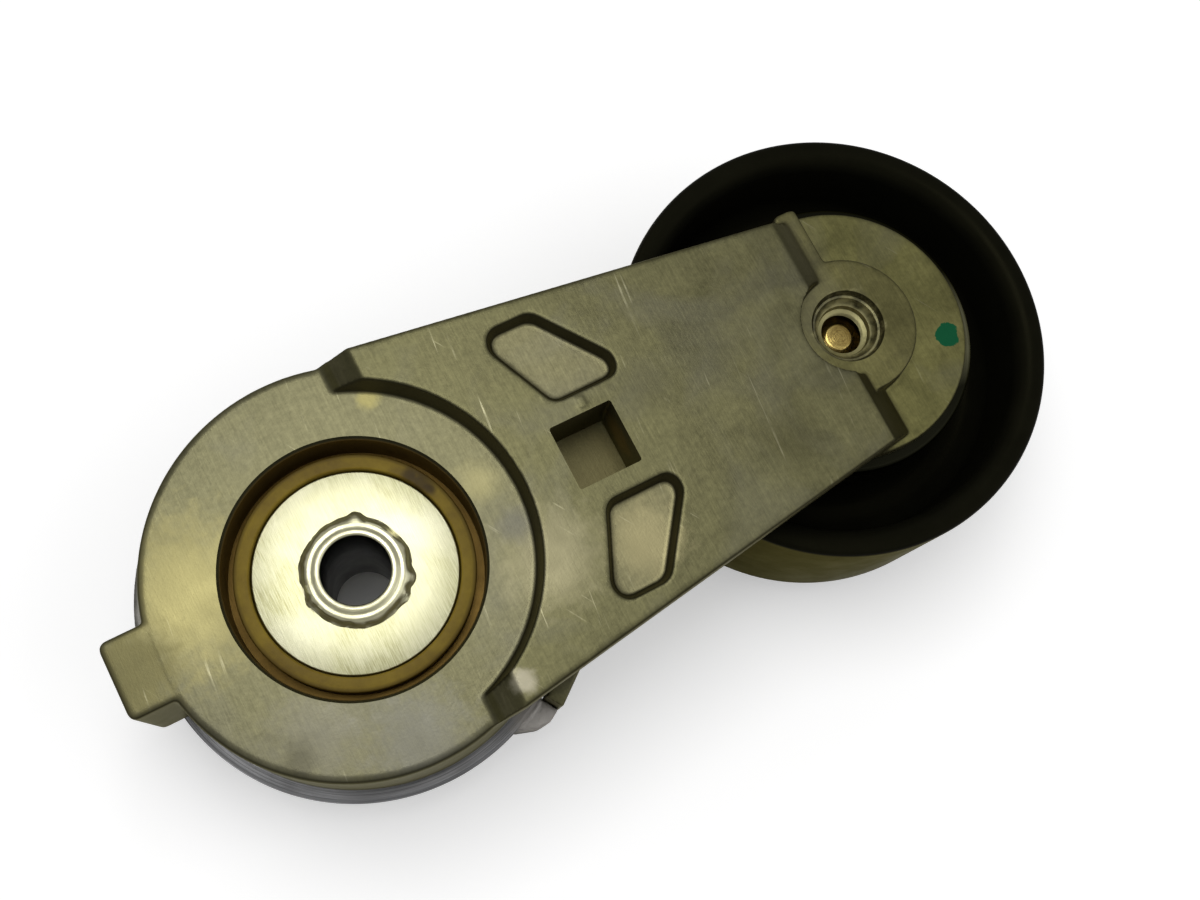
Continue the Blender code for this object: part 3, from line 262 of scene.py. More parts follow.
# A small raised mark beside the socket.
worked(arm, box_blank("tick", (0.0500, 0.0075, ARM_FACE - 0.0005),
                      (0.0513, 0.0095, ARM_FACE + 0.0002)), 'UNION')


# ---- Arm: the casting skin ----
# Molten metal leaves no sharp edge, so the blank is melted to one skin and smoothed. What is
# machined after casting is cut into it last and keeps its crisp edges.

def cast_skin(piece, grain, keep, softening=4):
    """Melts the blank to an even skin of small faces, softens it and thins its faces."""
    modified(piece, 'REMESH', mode='VOXEL', voxel_size=grain)
    modified(piece, 'SMOOTH', factor=0.5, iterations=softening)
    modified(piece, 'DECIMATE', ratio=keep)


cast_skin(arm, 0.00030, 0.14, softening=10)

opening = turned_blank("front_opening", (
    (0.0, 0.0481), (0.0250, 0.0481), (0.0246, 0.0471), (0.0240, 0.0465), (0.0240, 0.0364),
    (0.0, 0.0364)), facets=160)
worked(arm, opening)
worked(arm, round_blank("hub_bore", 0.0116, 0.0146, 0.0374, facets=96))
HALF_SOCKET = 0.0065
socket = box_blank("wrench_socket", (SOCKET_X - HALF_SOCKET, -HALF_SOCKET, ARM_FACE - 0.0150),
                   (SOCKET_X + HALF_SOCKET, HALF_SOCKET, ARM_FACE + 0.001))
eased(socket, 0.0005, upright, segments=3)
worked(arm, socket)

# The bolt's hole is countersunk, and its thread shows down to the bolt's end.
THREAD_TOP, THREAD_TURN = 0.0440, 0.0007
bolt_hole = [(0.0, 0.0492), (0.0080, 0.0492), (0.0074, 0.0482), (0.0068, 0.0469),
             (0.0064, 0.0467), (0.0058, 0.0454), (0.0053, 0.0451), (0.0050, THREAD_TOP)]
for turn in range(3):
    height = THREAD_TOP - turn * THREAD_TURN
    bolt_hole += [(0.00425, height - THREAD_TURN / 2), (0.0049, height - THREAD_TURN)]
bolt_hole += [(0.0053, 0.0416), (0.0053, 0.0300), (0.0, 0.0300)]
worked(arm, turned_blank("bolt_hole", bolt_hole, x=PULLEY_X, facets=72))


def smooth_shaded(piece, angle=35.0):
    """Shades a piece smooth, with a crease at edges sharper than the angle."""
    picked(piece)
    bpy.ops.object.shade_smooth_by_angle(angle=math.radians(angle))


smooth_shaded(arm)
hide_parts("arm_casting")
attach(arm, "arm")


# ---- Arm: the finish ----
# The casting is tumbled, which leaves an olive-grey satin skin with fine lines across the arm.
# Steep walls are painted dark as painted shade, oil has left clouds, and handling a few scratches.

NODES_IN_ROW, NODE_WIDTH, NODE_HEIGHT = 8, 220, 320


def node(tree, kind, **values):
    """One node of a finish, with its settings and socket values. Nodes are laid out in rows."""
    made = tree.nodes.new(kind)
    row, column = divmod(len(tree.nodes), NODES_IN_ROW)
    made.location = (column * NODE_WIDTH, -row * NODE_HEIGHT)
    for key, value in values.items():
        if key in made.inputs:
            made.inputs[key].default_value = value
        else:
            setattr(made, key, value)
    return made


def fed(tree, taker, inputs):
    """Links or sets the inputs of a node, given by number or name."""
    for key, value in inputs.items():
        if isinstance(value, bpy.types.NodeSocket):
            tree.links.new(value, taker.inputs[key])
        else:
            taker.inputs[key].default_value = value
    return taker


def wired(tree, kind, inputs, **values):
    """One node of a finish with its inputs linked or set."""
    return fed(tree, node(tree, kind, **values), inputs)


def noise(tree, where, scale, detail, **values):
    """Cloudy noise from 0 to 1."""
    return wired(tree, 'ShaderNodeTexNoise', {"Vector": where}, Scale=scale, Detail=detail,
                 **values).outputs["Fac"]


def between(tree, value, low, high, to_low=0.0, to_high=1.0):
    """Rescales a number from one range to another and clips it there."""
    return wired(tree, 'ShaderNodeMapRange', {
        "Value": value, "From Min": low, "From Max": high, "To Min": to_low,
        "To Max": to_high}).outputs[0]


def sum_of(tree, operation, first, second):
    """One sum on two numbers."""
    return wired(tree, 'ShaderNodeMath', {0: first, 1: second}, operation=operation).outputs[0]


# The numbers of the sockets that a mixing node has for colours.
MIX_AMOUNT, MIX_LOW, MIX_HIGH, MIX_RESULT = 0, 6, 7, 2


def blended(tree, amount, low, high):
    """A colour between two others, each given as three numbers or as a socket."""
    low, high = ((*end, 1.0) if isinstance(end, tuple) else end for end in (low, high))
    return wired(tree, 'ShaderNodeMix', {MIX_AMOUNT: amount, MIX_LOW: low, MIX_HIGH: high},
                 data_type='RGBA').outputs[MIX_RESULT]


def tinted(tree, mask, share, colour, new_colour):
    """Another colour laid over the first where the mask is, up to a share."""
    return blended(tree, sum_of(tree, 'MULTIPLY', mask, share), colour, new_colour)


def embossed(tree, inputs, strength, depth=0.0002):
    """The way the surface faces with a fine relief, from a height and any relief under it."""
    return wired(tree, 'ShaderNodeBump', inputs, Strength=strength, Distance=depth).outputs[0]


def finish_named(name):
    """An empty finish with its nodes, its shader and the place on the piece."""
    finish = bpy.data.materials.new(name)
    finish.use_nodes = True
    tree = finish.node_tree
    spot = node(tree, 'ShaderNodeTexCoord').outputs["Object"]
    return finish, tree, tree.nodes["Principled BSDF"], spot


def coated(piece, finish):
    """Gives a piece its one finish."""
    piece.data.materials.clear()
    piece.data.materials.append(finish)


def new_group(name, **entries):
    """An empty node group with its inputs, each given with its kind."""
    group = bpy.data.node_groups.new(name, 'ShaderNodeTree')
    for label, kind in entries.items():
        group.interface.new_socket(label, in_out='INPUT', socket_type='NodeSocket' + kind)
    return group, group.nodes.new('NodeGroupInput').outputs


def gives(group, **results):
    """Gives a node group its outputs."""
    for label in results:
        group.interface.new_socket(label, in_out='OUTPUT', socket_type='NodeSocketFloat')
    fed(group, group.nodes.new('NodeGroupOutput'), results)


def placed_group(tree, group, inputs):
    """A node group put into a finish, as its outputs."""
    return wired(tree, 'ShaderNodeGroup', inputs, node_tree=group).outputs


# The skin of a tumbled casting: clouds, cool patches, dark stains, fine lines and a height.
casting, entry = new_group("tumbled casting", Vector="Vector")
where = entry["Vector"]
stretch = wired(casting, 'ShaderNodeMapping', {
    "Vector": where, "Rotation": (0.0, 0.0, 0.10), "Scale": (2400.0, 130.0, 600.0)})
lines = noise(casting, stretch.outputs[0], 1.0, 3.0, Roughness=0.7)
cool = noise(casting, where, 48.0, 4.0, Roughness=0.5, Distortion=0.8)
stain = noise(casting, where, 120.0, 8.0, Roughness=0.7)
gives(casting, Cloud=noise(casting, where, 75.0, 5.0, Roughness=0.55, Distortion=0.6),
      Cool=between(casting, cool, 0.48, 0.66), Stain=between(casting, stain, 0.60, 0.78),
      Lines=lines, Height=sum_of(casting, 'ADD', lines, noise(casting, where, 2200.0, 2.0)))

# Long thin scratches in one direction, few and bright.
scratched, entry = new_group("scratches", Vector="Vector", Turn="Float", Few="Float")
turned = wired(scratched, 'ShaderNodeVectorRotate', {
    "Vector": entry["Vector"], "Angle": entry["Turn"]}, rotation_type='Z_AXIS')
thin = wired(scratched, 'ShaderNodeMapping', {
    "Vector": turned.outputs[0], "Scale": (1500.0, 42.0, 30.0)})
streaks = between(scratched, noise(scratched, thin.outputs[0], 1.0, 1.0), 0.70, 0.76)
broken = between(scratched, noise(scratched, entry["Vector"], 140.0, 2.0), entry["Few"], 0.75)
gives(scratched, Mask=sum_of(scratched, 'MULTIPLY', streaks, broken))

# A patch round one place, with a soft or a hard uneven edge.
patch, entry = new_group("patch", Vector="Vector", Place="Vector", Reach="Float", Edge="Float")
away = wired(patch, 'ShaderNodeVectorMath', {0: entry["Vector"], 1: entry["Place"]},
             operation='DISTANCE').outputs["Value"]
ragged = wired(patch, 'ShaderNodeMath', {
    0: noise(patch, entry["Vector"], 420.0, 5.0, Roughness=0.6), 1: 1.2, 2: 0.40},
    operation='MULTIPLY_ADD').outputs[0]
faded = wired(patch, 'ShaderNodeMapRange', {
    "Value": sum_of(patch, 'MULTIPLY', away, ragged), "From Min": entry["Reach"],
    "From Max": sum_of(patch, 'MULTIPLY', entry["Reach"], entry["Edge"])},
    interpolation_type='SMOOTHSTEP')
gives(patch, Mask=faded.outputs[0])

# How far a face leans, from 0 when flat to 1 from the slope of a wall on, and how upright it is.
steep, entry = new_group("steepness", Start="Float")
facing = wired(steep, 'ShaderNodeSeparateXYZ', {
    0: node(steep, 'ShaderNodeNewGeometry').outputs["Normal"]}).outputs["Z"]
lean = sum_of(steep, 'SUBTRACT', 1.0, sum_of(steep, 'ABSOLUTE', facing, 0.0))
gives(steep, Mask=between(steep, lean, entry["Start"], 0.30),
      Upright=between(steep, lean, 0.45, 0.80))


def patch_at(tree, spot, place, reach, edge):
    """Where a patch round one place lies."""
    return placed_group(tree, patch, {
        "Vector": spot, "Place": place, "Reach": reach, "Edge": edge})["Mask"]


def scratches(tree, spot, turn, few):
    """Where scratches of one direction lie."""
    return placed_group(tree, scratched, {"Vector": spot, "Turn": turn, "Few": few})["Mask"]


arm_finish, tree, shader, spot = finish_named("arm_aluminium")
skin = placed_group(tree, casting, {"Vector": spot})

# Each flat level has its colour, from the end disc up to the plate's face, as shares of a range.
RANGE_FOOT, RANGE_TOP = 0.0400, 0.0530
level = wired(tree, 'ShaderNodeSeparateXYZ', {0: spot}).outputs["Z"]
ramp = wired(tree, 'ShaderNodeValToRGB', {0: between(tree, level, RANGE_FOOT, RANGE_TOP)})
stops = ramp.color_ramp.elements
stops[0].color = (0.120, 0.113, 0.055, 1.0)
stops[1].position, stops[1].color = 0.85, (0.120, 0.113, 0.054, 1.0)
for start, end, shade in (
        (0.26, 0.42, (0.150, 0.141, 0.052)), (0.50, 0.57, (0.150, 0.141, 0.076)),
        (0.61, 0.65, (0.128, 0.118, 0.046)), (0.68, 0.76, (0.160, 0.148, 0.078))):
    for position in (start, end):
        stops.new(position).color = (*shade, 1.0)
colour = ramp.outputs["Color"]

# Clouds, fine lines and speckles make it lighter and darker.
for mottle, low, high, darkest, lightest in (
        (skin["Cloud"], 0.34, 0.68, 0.76, 1.26), (skin["Lines"], 0.25, 0.75, 0.84, 1.16),
        (noise(tree, spot, 850.0, 3.0, Roughness=0.7), 0.30, 0.70, 0.84, 1.14)):
    colour = wired(tree, 'ShaderNodeVectorMath', {
        0: colour, "Scale": between(tree, mottle, low, high, darkest, lightest)},
        operation='SCALE').outputs[0]
colour = tinted(tree, skin["Cool"], 0.28, colour, (0.125, 0.121, 0.098))

# Bright and dull patches on its faces, the first and widest of them a painted highlight on the
# cup's face, then stains of oil and scratches.
for place, reach, edge, strength, new_colour in (
        ((-0.0290, 0.0085, 0.0471), 0.021, 0.15, 0.80, (0.310, 0.275, 0.115)),
        ((-0.0430, 0.0000, 0.0471), 0.011, 0.40, 0.85, (0.125, 0.112, 0.048)),
        ((-0.0157, -0.0290, 0.0471), 0.012, 0.10, 0.35, (0.200, 0.190, 0.130)),
        ((0.0320, -0.0150, 0.0520), 0.014, 0.15, 0.85, (0.235, 0.215, 0.125)),
        ((0.0500, -0.0200, 0.0490), 0.010, 0.20, 0.90, (0.270, 0.240, 0.125)),
        ((0.0272, 0.0042, 0.0471), 0.006, 0.10, 0.55, (0.260, 0.235, 0.110)),
        ((0.0159, 0.0278, 0.0471), 0.003, 0.30, 0.75, (0.300, 0.265, 0.100)),
        ((0.0296, -0.0062, 0.0471), 0.005, 0.20, 0.55, (0.100, 0.098, 0.090)),
        ((-0.0030, -0.0335, 0.0471), 0.014, 0.10, 0.60, (0.170, 0.168, 0.150)),
        ((-0.0200, -0.0240, 0.0471), 0.012, 0.10, 0.50, (0.190, 0.182, 0.145)),
        ((-0.0232, -0.0271, 0.0471), 0.005, 0.20, 0.55, (0.075, 0.070, 0.045)),
        ((0.0829, -0.0156, 0.0520), 0.009, 0.10, 0.40, (0.075, 0.070, 0.030)),
        ((0.0620, 0.0060, 0.0520), 0.008, 0.10, 0.40, (0.085, 0.080, 0.045))):
    colour = tinted(tree, patch_at(tree, spot, place, reach, edge), strength, colour, new_colour)
colour = tinted(tree, skin["Stain"], 0.55, colour, (0.050, 0.046, 0.026))
scratch = sum_of(tree, 'MAXIMUM', scratches(tree, spot, 0.10, 0.46),
                 scratches(tree, spot, -0.55, 0.55))
colour = tinted(tree, scratch, 0.55, colour, (0.420, 0.395, 0.260))

# Painted shade on the steep walls, then the painted amber light of the friction ring in the
# opening.
wall = placed_group(tree, steep, {"Start": 0.012})
painted_wall_shade = blended(tree, skin["Cloud"], (0.012, 0.011, 0.005), (0.037, 0.033, 0.015))
painted_wall_shade = blended(tree, wall["Upright"], painted_wall_shade, (0.074, 0.066, 0.032))
colour = tinted(tree, wall["Mask"], 0.92, colour, painted_wall_shade)
across = wired(tree, 'ShaderNodeVectorMath', {0: spot, 1: (1.0, 1.0, 0.0)}, operation='MULTIPLY')
from_axis = wired(tree, 'ShaderNodeVectorMath', {0: across.outputs[0]},
                  operation='LENGTH').outputs["Value"]
colour = blended(tree, between(tree, from_axis, 0.02425, 0.02395), colour, (0.115, 0.070, 0.016))

# Bare metal in the bolt's hole, painted lighter as painted light on its shaded countersink,
# painted shade deep in the socket and painted light on the socket's right wall, then a torn spot
# and a dot of paint.
for place, reach, edge, strength, new_colour in (
        ((PULLEY_X, 0.0, 0.0455), 0.0078, 0.55, 0.80, (0.420, 0.385, 0.190)),
        ((SOCKET_X, 0.0, 0.0360), 0.0105, 0.60, 0.75, (0.085, 0.072, 0.030)),
        ((SOCKET_X + 0.0066, 0.0010, 0.0440), 0.0062, 0.30, 0.85, (0.230, 0.150, 0.045))):
    colour = tinted(tree, patch_at(tree, spot, place, reach, edge), strength, colour, new_colour)
torn = patch_at(tree, spot, (0.0176, -0.0328, 0.0518), 0.0032, 0.35)
colour = tinted(tree, torn, 0.85, colour, (0.340, 0.315, 0.230))
paint = patch_at(tree, spot, (0.1258, -0.0098, 0.0437), 0.0025, 0.93)
colour = blended(tree, paint, colour, (0.003, 0.085, 0.034))

fine = embossed(tree, {"Height": skin["Height"]}, 0.10)
dents = sum_of(tree, 'MULTIPLY', torn, skin["Stain"])
fed(tree, shader, {
    "Base Color": colour, "Metallic": 0.8, "Specular Tint": (0.80, 0.77, 0.55, 1.0),
    "Roughness": sum_of(tree, 'SUBTRACT', between(tree, skin["Cloud"], 0.3, 0.7, 0.36, 0.50),
                        sum_of(tree, 'MULTIPLY', scratch, 0.12)),
    "Normal": embossed(tree, {"Height": dents, "Normal": fine}, 0.9, 0.0006)})
coated(arm, arm_finish)


# ---- Base ----
# The base is an aluminium casting too, greyer than the arm: a cup with a floor on six ribs, two
# stop lugs, a swelling at its side and a housing for the spring's end. Its rim and its foot are
# turned after casting.

def softened(corners, steps=6):
    """Half section from corners (radius, height, rounding), with each corner rounded."""
    points = []
    for index, (radius, height, rounding) in enumerate(corners):
        corner = Vector((radius, height))
        if rounding == 0.0:
            points.append((radius, height))
            continue
        before = (Vector(corners[index - 1][:2]) - corner).normalized()
        after = (Vector(corners[(index + 1) % len(corners)][:2]) - corner).normalized()
        half = before.angle(after) / 2
        centre = corner + (before + after).normalized() * (rounding / math.sin(half))
        start = corner + before * (rounding / math.tan(half)) - centre
        end = corner + after * (rounding / math.tan(half)) - centre
        first = math.atan2(start.y, start.x)
        sweep = math.remainder(math.atan2(end.y, end.x) - first, math.tau)
        for step in range(steps + 1):
            angle = first + sweep * step / steps
            points.append((centre.x + rounding * math.cos(angle),
                           centre.y + rounding * math.sin(angle)))
    return points


base = turned_blank("base", softened((
    (0.0422, 0.0203, 0.0), (0.0418, 0.0185, 0.0), (0.0418, 0.0030, 0.0012),
    (0.0214, 0.0030, 0.0010), (0.0214, 0.0, 0.0), (0.0096, 0.0, 0.0), (0.0096, 0.0134, 0.0),
    (0.0165, 0.0134, 0.0), (0.0165, 0.0065, 0.0010), (0.0356, 0.0065, 0.0016),
    (0.0356, 0.0203, 0.0))), facets=192)
RIBS = 6
for number in range(RIBS):
    rib = box_blank("rib", (0.0190, -0.0020, 0.0008), (0.0400, 0.0020, 0.0045))
    bpy.ops.transform.rotate(value=-number * math.tau / RIBS, orient_axis='Z',
                             center_override=(0.0, 0.0, 0.0))
    bpy.ops.object.transform_apply()
    worked(base, rib, 'UNION')
PIN_CIRCLE, PIN_ANGLE = 0.031, math.radians(210)
pin_x, pin_y = PIN_CIRCLE * math.cos(PIN_ANGLE), PIN_CIRCLE * math.sin(PIN_ANGLE)
worked(base, round_blank("pin_pad", 0.0070, 0.0008, 0.0045, x=pin_x, y=pin_y, facets=64), 'UNION')

# Two stop lugs and the swelling, each from its first to its last angle. The first lug, where the
# arm rests, has two slopes: through a point, square to a direction.
LUG_ROOT = 0.0390
SLOPES = (((0.0171, -0.0404, 0.0), -109.0), ((0.0195, -0.0410, 0.0), -86.0))
for first, last, radius, foot, top, slopes in (
        (-69.5, -58.44, STOP_RADIUS, 0.0090, 0.0192, SLOPES),
        (2.56, 11.56, STOP_RADIUS, 0.0090, 0.0192, ()),
        (139.0, 173.0, 0.04475, 0.0038, 0.0194, ())):
    lug = round_blank("lug", radius, foot, top, facets=160)
    for point, towards in slopes:
        towards = math.radians(towards)
        sawn(lug, point, (math.cos(towards), math.sin(towards), 0.0))
    for angle, way in ((first, -1), (last, 1)):
        angle = math.radians(angle)
        sawn(lug, (0.0, 0.0, 0.0), (-way * math.sin(angle), way * math.cos(angle), 0.0))
    middle = math.radians((first + last) / 2)
    sawn(lug, (LUG_ROOT * math.cos(middle), LUG_ROOT * math.sin(middle), 0.0),
         (-math.cos(middle), -math.sin(middle), 0.0))
    worked(base, lug, 'UNION')
housing = box_blank("spring_end_housing", (-0.0075, 0.0390, 0.0038), (0.0075, 0.0460, 0.0192))
eased(housing, 0.0015, lambda middle, direction: upright(middle, direction) and middle.y > 0.04)
worked(base, housing, 'UNION')
worked(base, box_blank("slot", (-0.0050, 0.0345, 0.0062), (0.0050, 0.0439, 0.0210)))
cast_skin(base, 0.00040, 0.30, softening=3)
worked(base, turned_blank("rim_turning", (
    (0.0300, 0.0200), (0.0412, 0.0200), (0.0418, 0.0194), (0.0450, 0.0194), (0.0450, 0.0215),
    (0.0300, 0.0215)), facets=240))
worked(base, turned_blank("foot_turning", (
    (0.0, -0.0010), (0.0225, -0.0010), (0.0225, 0.0001), (0.0211, 0.0001), (0.0208, 0.0),
    (0.0098, 0.0), (0.0098, 0.0129), (0.0175, 0.0129), (0.0175, 0.0150), (0.0, 0.0150)),
    facets=160))
worked(base, round_blank("pin_hole", 0.0042, -0.0010, 0.0053, x=pin_x, y=pin_y, facets=64))
smooth_shaded(base)
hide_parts("base_casting")
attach(base, "base")

# Fine turned lines round an axis, the distance from that axis and worn patches.
lathe, entry = new_group("turned lines", Vector="Vector", Pitch="Float")
axes = wired(lathe, 'ShaderNodeSeparateXYZ', {0: entry["Vector"]}).outputs
across = wired(lathe, 'ShaderNodeCombineXYZ', {0: axes["X"], 1: axes["Y"]})
from_axis = wired(lathe, 'ShaderNodeVectorMath', {0: across.outputs[0]},
                  operation='LENGTH').outputs["Value"]
around = sum_of(lathe, 'ARCTAN2', axes["Y"], axes["X"])
wound = wired(lathe, 'ShaderNodeCombineXYZ', {
    0: sum_of(lathe, 'MULTIPLY', from_axis, entry["Pitch"]),
    1: sum_of(lathe, 'ABSOLUTE', around, 0.0),
    2: sum_of(lathe, 'MULTIPLY', axes["Z"], entry["Pitch"])})
gives(lathe, Lines=noise(lathe, wound.outputs[0], 1.0, 3.0, Roughness=0.75), Radius=from_axis,
      Wear=noise(lathe, entry["Vector"], 110.0, 5.0, Roughness=0.65))

base_finish, tree, shader, spot = finish_named("base_aluminium")
skin = placed_group(tree, casting, {"Vector": spot})
marks = placed_group(tree, lathe, {"Vector": spot, "Pitch": 5200.0})
colour = blended(tree, between(tree, skin["Cloud"], 0.35, 0.65), (0.105, 0.103, 0.092),
                 (0.230, 0.222, 0.200))
colour = tinted(tree, skin["Stain"], 0.6, colour, (0.045, 0.042, 0.034))
# Painted shade darkens the steep walls.
wall = placed_group(tree, steep, {"Start": 0.05})["Mask"]
colour = tinted(tree, wall, 0.90, colour, (0.034, 0.032, 0.028))
level = wired(tree, 'ShaderNodeSeparateXYZ', {0: spot}).outputs["Z"]
# The turned rim, above the lugs and inside them, is brighter than the cast skin.
rim = sum_of(tree, 'MULTIPLY', between(tree, level, 0.0190, 0.0193),
             between(tree, marks["Radius"], 0.0425, 0.0422))
turned_colour = blended(tree, between(tree, marks["Lines"], 0.35, 0.65), (0.090, 0.092, 0.098),
                        (0.330, 0.330, 0.335))
colour = blended(tree, rim, colour, turned_colour)
# A painted highlight on the top of the lug where the arm rests.
lug_highlight = patch_at(tree, spot, (0.0193, -0.0395, 0.0192), 0.0062, 0.5)
relief = sum_of(tree, 'ADD', skin["Height"], sum_of(tree, 'MULTIPLY', rim, marks["Lines"]))
fed(tree, shader, {
    "Base Color": blended(tree, lug_highlight, colour, (0.300, 0.285, 0.265)), "Metallic": 0.8,
    "Specular Tint": (0.60, 0.57, 0.50, 1.0),
    "Roughness": between(tree, skin["Cloud"], 0.3, 0.7, 0.34, 0.52),
    "Normal": embossed(tree, {"Height": relief}, 0.12)})
coated(base, base_finish)


# ---- Locating pin ----
# A ground steel dowel, pressed into the base's back, that keeps the base from turning.
pin = turned_blank("locating_pin_visual", softened((
    (0.0, 0.0050, 0.0), (0.0040, 0.0050, 0.0004), (0.0040, -0.0062, 0.0002),
    (0.0032, -0.0070, 0.0002), (0.0, -0.0070, 0.0)), steps=3), x=pin_x, y=pin_y, facets=64)
smooth_shaded(pin)
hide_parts("locating_pin")
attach(pin, "base")


def turned_steel(name, dark, light, roughness, axis_x=0.0, pitch=4200.0, bump=0.10,
                 stain=(0.10, 0.08, 0.05), stain_share=0.3):
    """Turned or ground steel with lines round its axis, uneven gloss and a few stains."""
    finish, tree, shader, spot = finish_named(name)
    centred = wired(tree, 'ShaderNodeMapping', {
        "Vector": spot, "Location": (-axis_x, 0.0, 0.0)}).outputs[0]
    marks = placed_group(tree, lathe, {"Vector": centred, "Pitch": pitch})
    colour = blended(tree, between(tree, marks["Lines"], 0.3, 0.7), dark, light)
    spoiled = between(tree, marks["Wear"], 0.56, 0.75, 0.0, stain_share)
    colour = blended(tree, spoiled, colour, stain)
    fed(tree, shader, {
        "Base Color": colour, "Metallic": 1.0,
        "Roughness": between(tree, marks["Wear"], 0.3, 0.7, roughness - 0.06, roughness + 0.10),
        "Normal": embossed(tree, {"Height": marks["Lines"]}, bump)})
    return finish, tree, shader, marks, colour


coated(pin, turned_steel("pin_steel", (0.34, 0.34, 0.34), (0.52, 0.52, 0.51), 0.26)[0])


# ---- Thrust plate ----
# A hard steel washer, ground bright in straight lines on both faces. It holds the arm down and
# runs against the friction ring.
WASHER_FACE = 0.0410
plate = turned_blank("thrust_washer", softened((
    (0.0192, WASHER_FACE, 0.00025), (0.0192, 0.0385, 0.0003), (0.0098, 0.0385, 0.0),
    (0.0098, WASHER_FACE, 0.0)), steps=3), facets=240)
smooth_shaded(plate)
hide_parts("thrust_plate")
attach(plate, "base")
ground_finish, tree, shader, spot = finish_named("ground_steel")
stretch = wired(tree, 'ShaderNodeMapping', {
    "Vector": spot, "Rotation": (0.0, 0.0, 0.08), "Scale": (4800.0, 260.0, 300.0)})
lines = noise(tree, stretch.outputs[0], 1.0, 4.0, Roughness=0.7)
shine = noise(tree, spot, 70.0, 3.0, Distortion=0.5)
colour = blended(tree, between(tree, lines, 0.36, 0.62), (0.27, 0.26, 0.13), (0.50, 0.49, 0.31))
colour = blended(tree, between(tree, shine, 0.40, 0.66, 0.0, 0.65), colour, (0.56, 0.55, 0.40))
fed(tree, shader, {
    "Base Color": tinted(tree, scratches(tree, spot, 0.6, 0.5), 0.6, colour, (0.35, 0.33, 0.20)),
    "Metallic": 1.0, "Roughness": between(tree, lines, 0.3, 0.7, 0.30, 0.42),
    "Normal": embossed(tree, {"Height": lines}, 0.12)})
coated(plate, ground_finish)


# ---- Pivot tube ----
# A steel tube through the pivot. Its front end is rolled over the thrust plate, which leaves a
# groove, a bright inner ring and a torn outer edge with burrs.
tube = turned_blank("swaged_tube", (
    (0.0065, 0.0427), (0.0066, 0.0429), (0.0068, 0.04302), (0.0071, 0.04308), (0.0075, 0.04305),
    (0.0078, 0.04292), (0.0081, 0.04275), (0.0084, 0.04268), (0.0087, 0.04270), (0.0090, 0.04266),
    (0.0094, 0.0425), (0.0097, 0.0422), (0.0100, 0.0418), (0.0103, 0.0414), (0.0106, 0.0412),
    (0.0106, WASHER_FACE), (0.0095, WASHER_FACE),
    (0.0095, 0.0003), (0.0092, 0.0), (0.0068, 0.0), (0.0065, 0.0003)), facets=240)
torn_edge = tube.vertex_groups.new(name="torn")
torn_edge.add([point.index for point in tube.data.vertices
               if math.hypot(point.co.x, point.co.y) > 0.0097 and point.co.z > WASHER_FACE], 1.0,
              'REPLACE')
tears = bpy.data.textures.new("tears", 'CLOUDS')
tears.noise_scale = 0.0048
tears.noise_depth = 3
tears.contrast = 2.2
modified(tube, 'DISPLACE', texture=tears, texture_coords='LOCAL', vertex_group="torn",
         strength=0.0006, mid_level=0.55)

# The burrs, each pulled out from one place of the torn edge.
bpy.ops.object.mode_set(mode='EDIT')
bpy.ops.mesh.select_mode(type='VERT')
for burr_x, burr_y, reach in ((0.0045, 0.0096, 0.0007), (0.0090, -0.0056, 0.0006),
                              (0.0066, -0.0086, 0.0004), (-0.0105, -0.0020, 0.0003)):
    bpy.ops.mesh.select_all(action='DESELECT')
    bpy.ops.object.mode_set(mode='OBJECT')
    for point in tube.data.vertices:
        point.select = (point.co.z > 0.0408 and math.hypot(point.co.x, point.co.y) > 0.0100
                        and math.hypot(point.co.x - burr_x, point.co.y - burr_y) < 0.0006)
    bpy.ops.object.mode_set(mode='EDIT')
    outward = Vector((burr_x, burr_y, 0.0)).normalized() * reach
    bpy.ops.transform.translate(value=(outward.x, outward.y, 0.0002), use_proportional_edit=True,
                                proportional_size=0.0018)
bpy.ops.object.mode_set(mode='OBJECT')
smooth_shaded(tube, 50.0)
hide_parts("pivot_tube")
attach(tube, "base")
tube_finish, tree, shader, marks, colour = turned_steel(
    "tube_steel", (0.44, 0.42, 0.26), (0.74, 0.72, 0.50), 0.32, pitch=2600.0, bump=0.25,
    stain=(0.20, 0.17, 0.08), stain_share=0.5)
# Painted shade darkens the bore's inner wall.
bore_shade = between(tree, marks["Radius"], 0.00670, 0.00652)
fed(tree, shader, {"Base Color": blended(tree, bore_shade, colour, (0.020, 0.019, 0.015))})
coated(tube, tube_finish)


# ---- Friction ring ----
# A moulded ring of amber nylon between the arm and the thrust plate. Its lip stands round the
# plate, and grease has been smeared on it at one place.
friction = turned_blank("friction_ring", softened((
    (0.0224, 0.0420, 0.0003), (0.0224, 0.0367, 0.0), (0.0098, 0.0367, 0.0),
    (0.0098, 0.0382, 0.0), (0.0195, 0.0382, 0.0003), (0.0195, 0.0420, 0.0004)), steps=4),
    facets=240)
smooth_shaded(friction)
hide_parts("damper_ring")
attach(friction, "arm")
amber_finish, tree, shader, spot = finish_named("amber_plastic")
marks = placed_group(tree, lathe, {"Vector": spot, "Pitch": 1500.0})
colour = blended(tree, between(tree, marks["Wear"], 0.3, 0.7), (0.130, 0.084, 0.008),
                 (0.250, 0.178, 0.024))
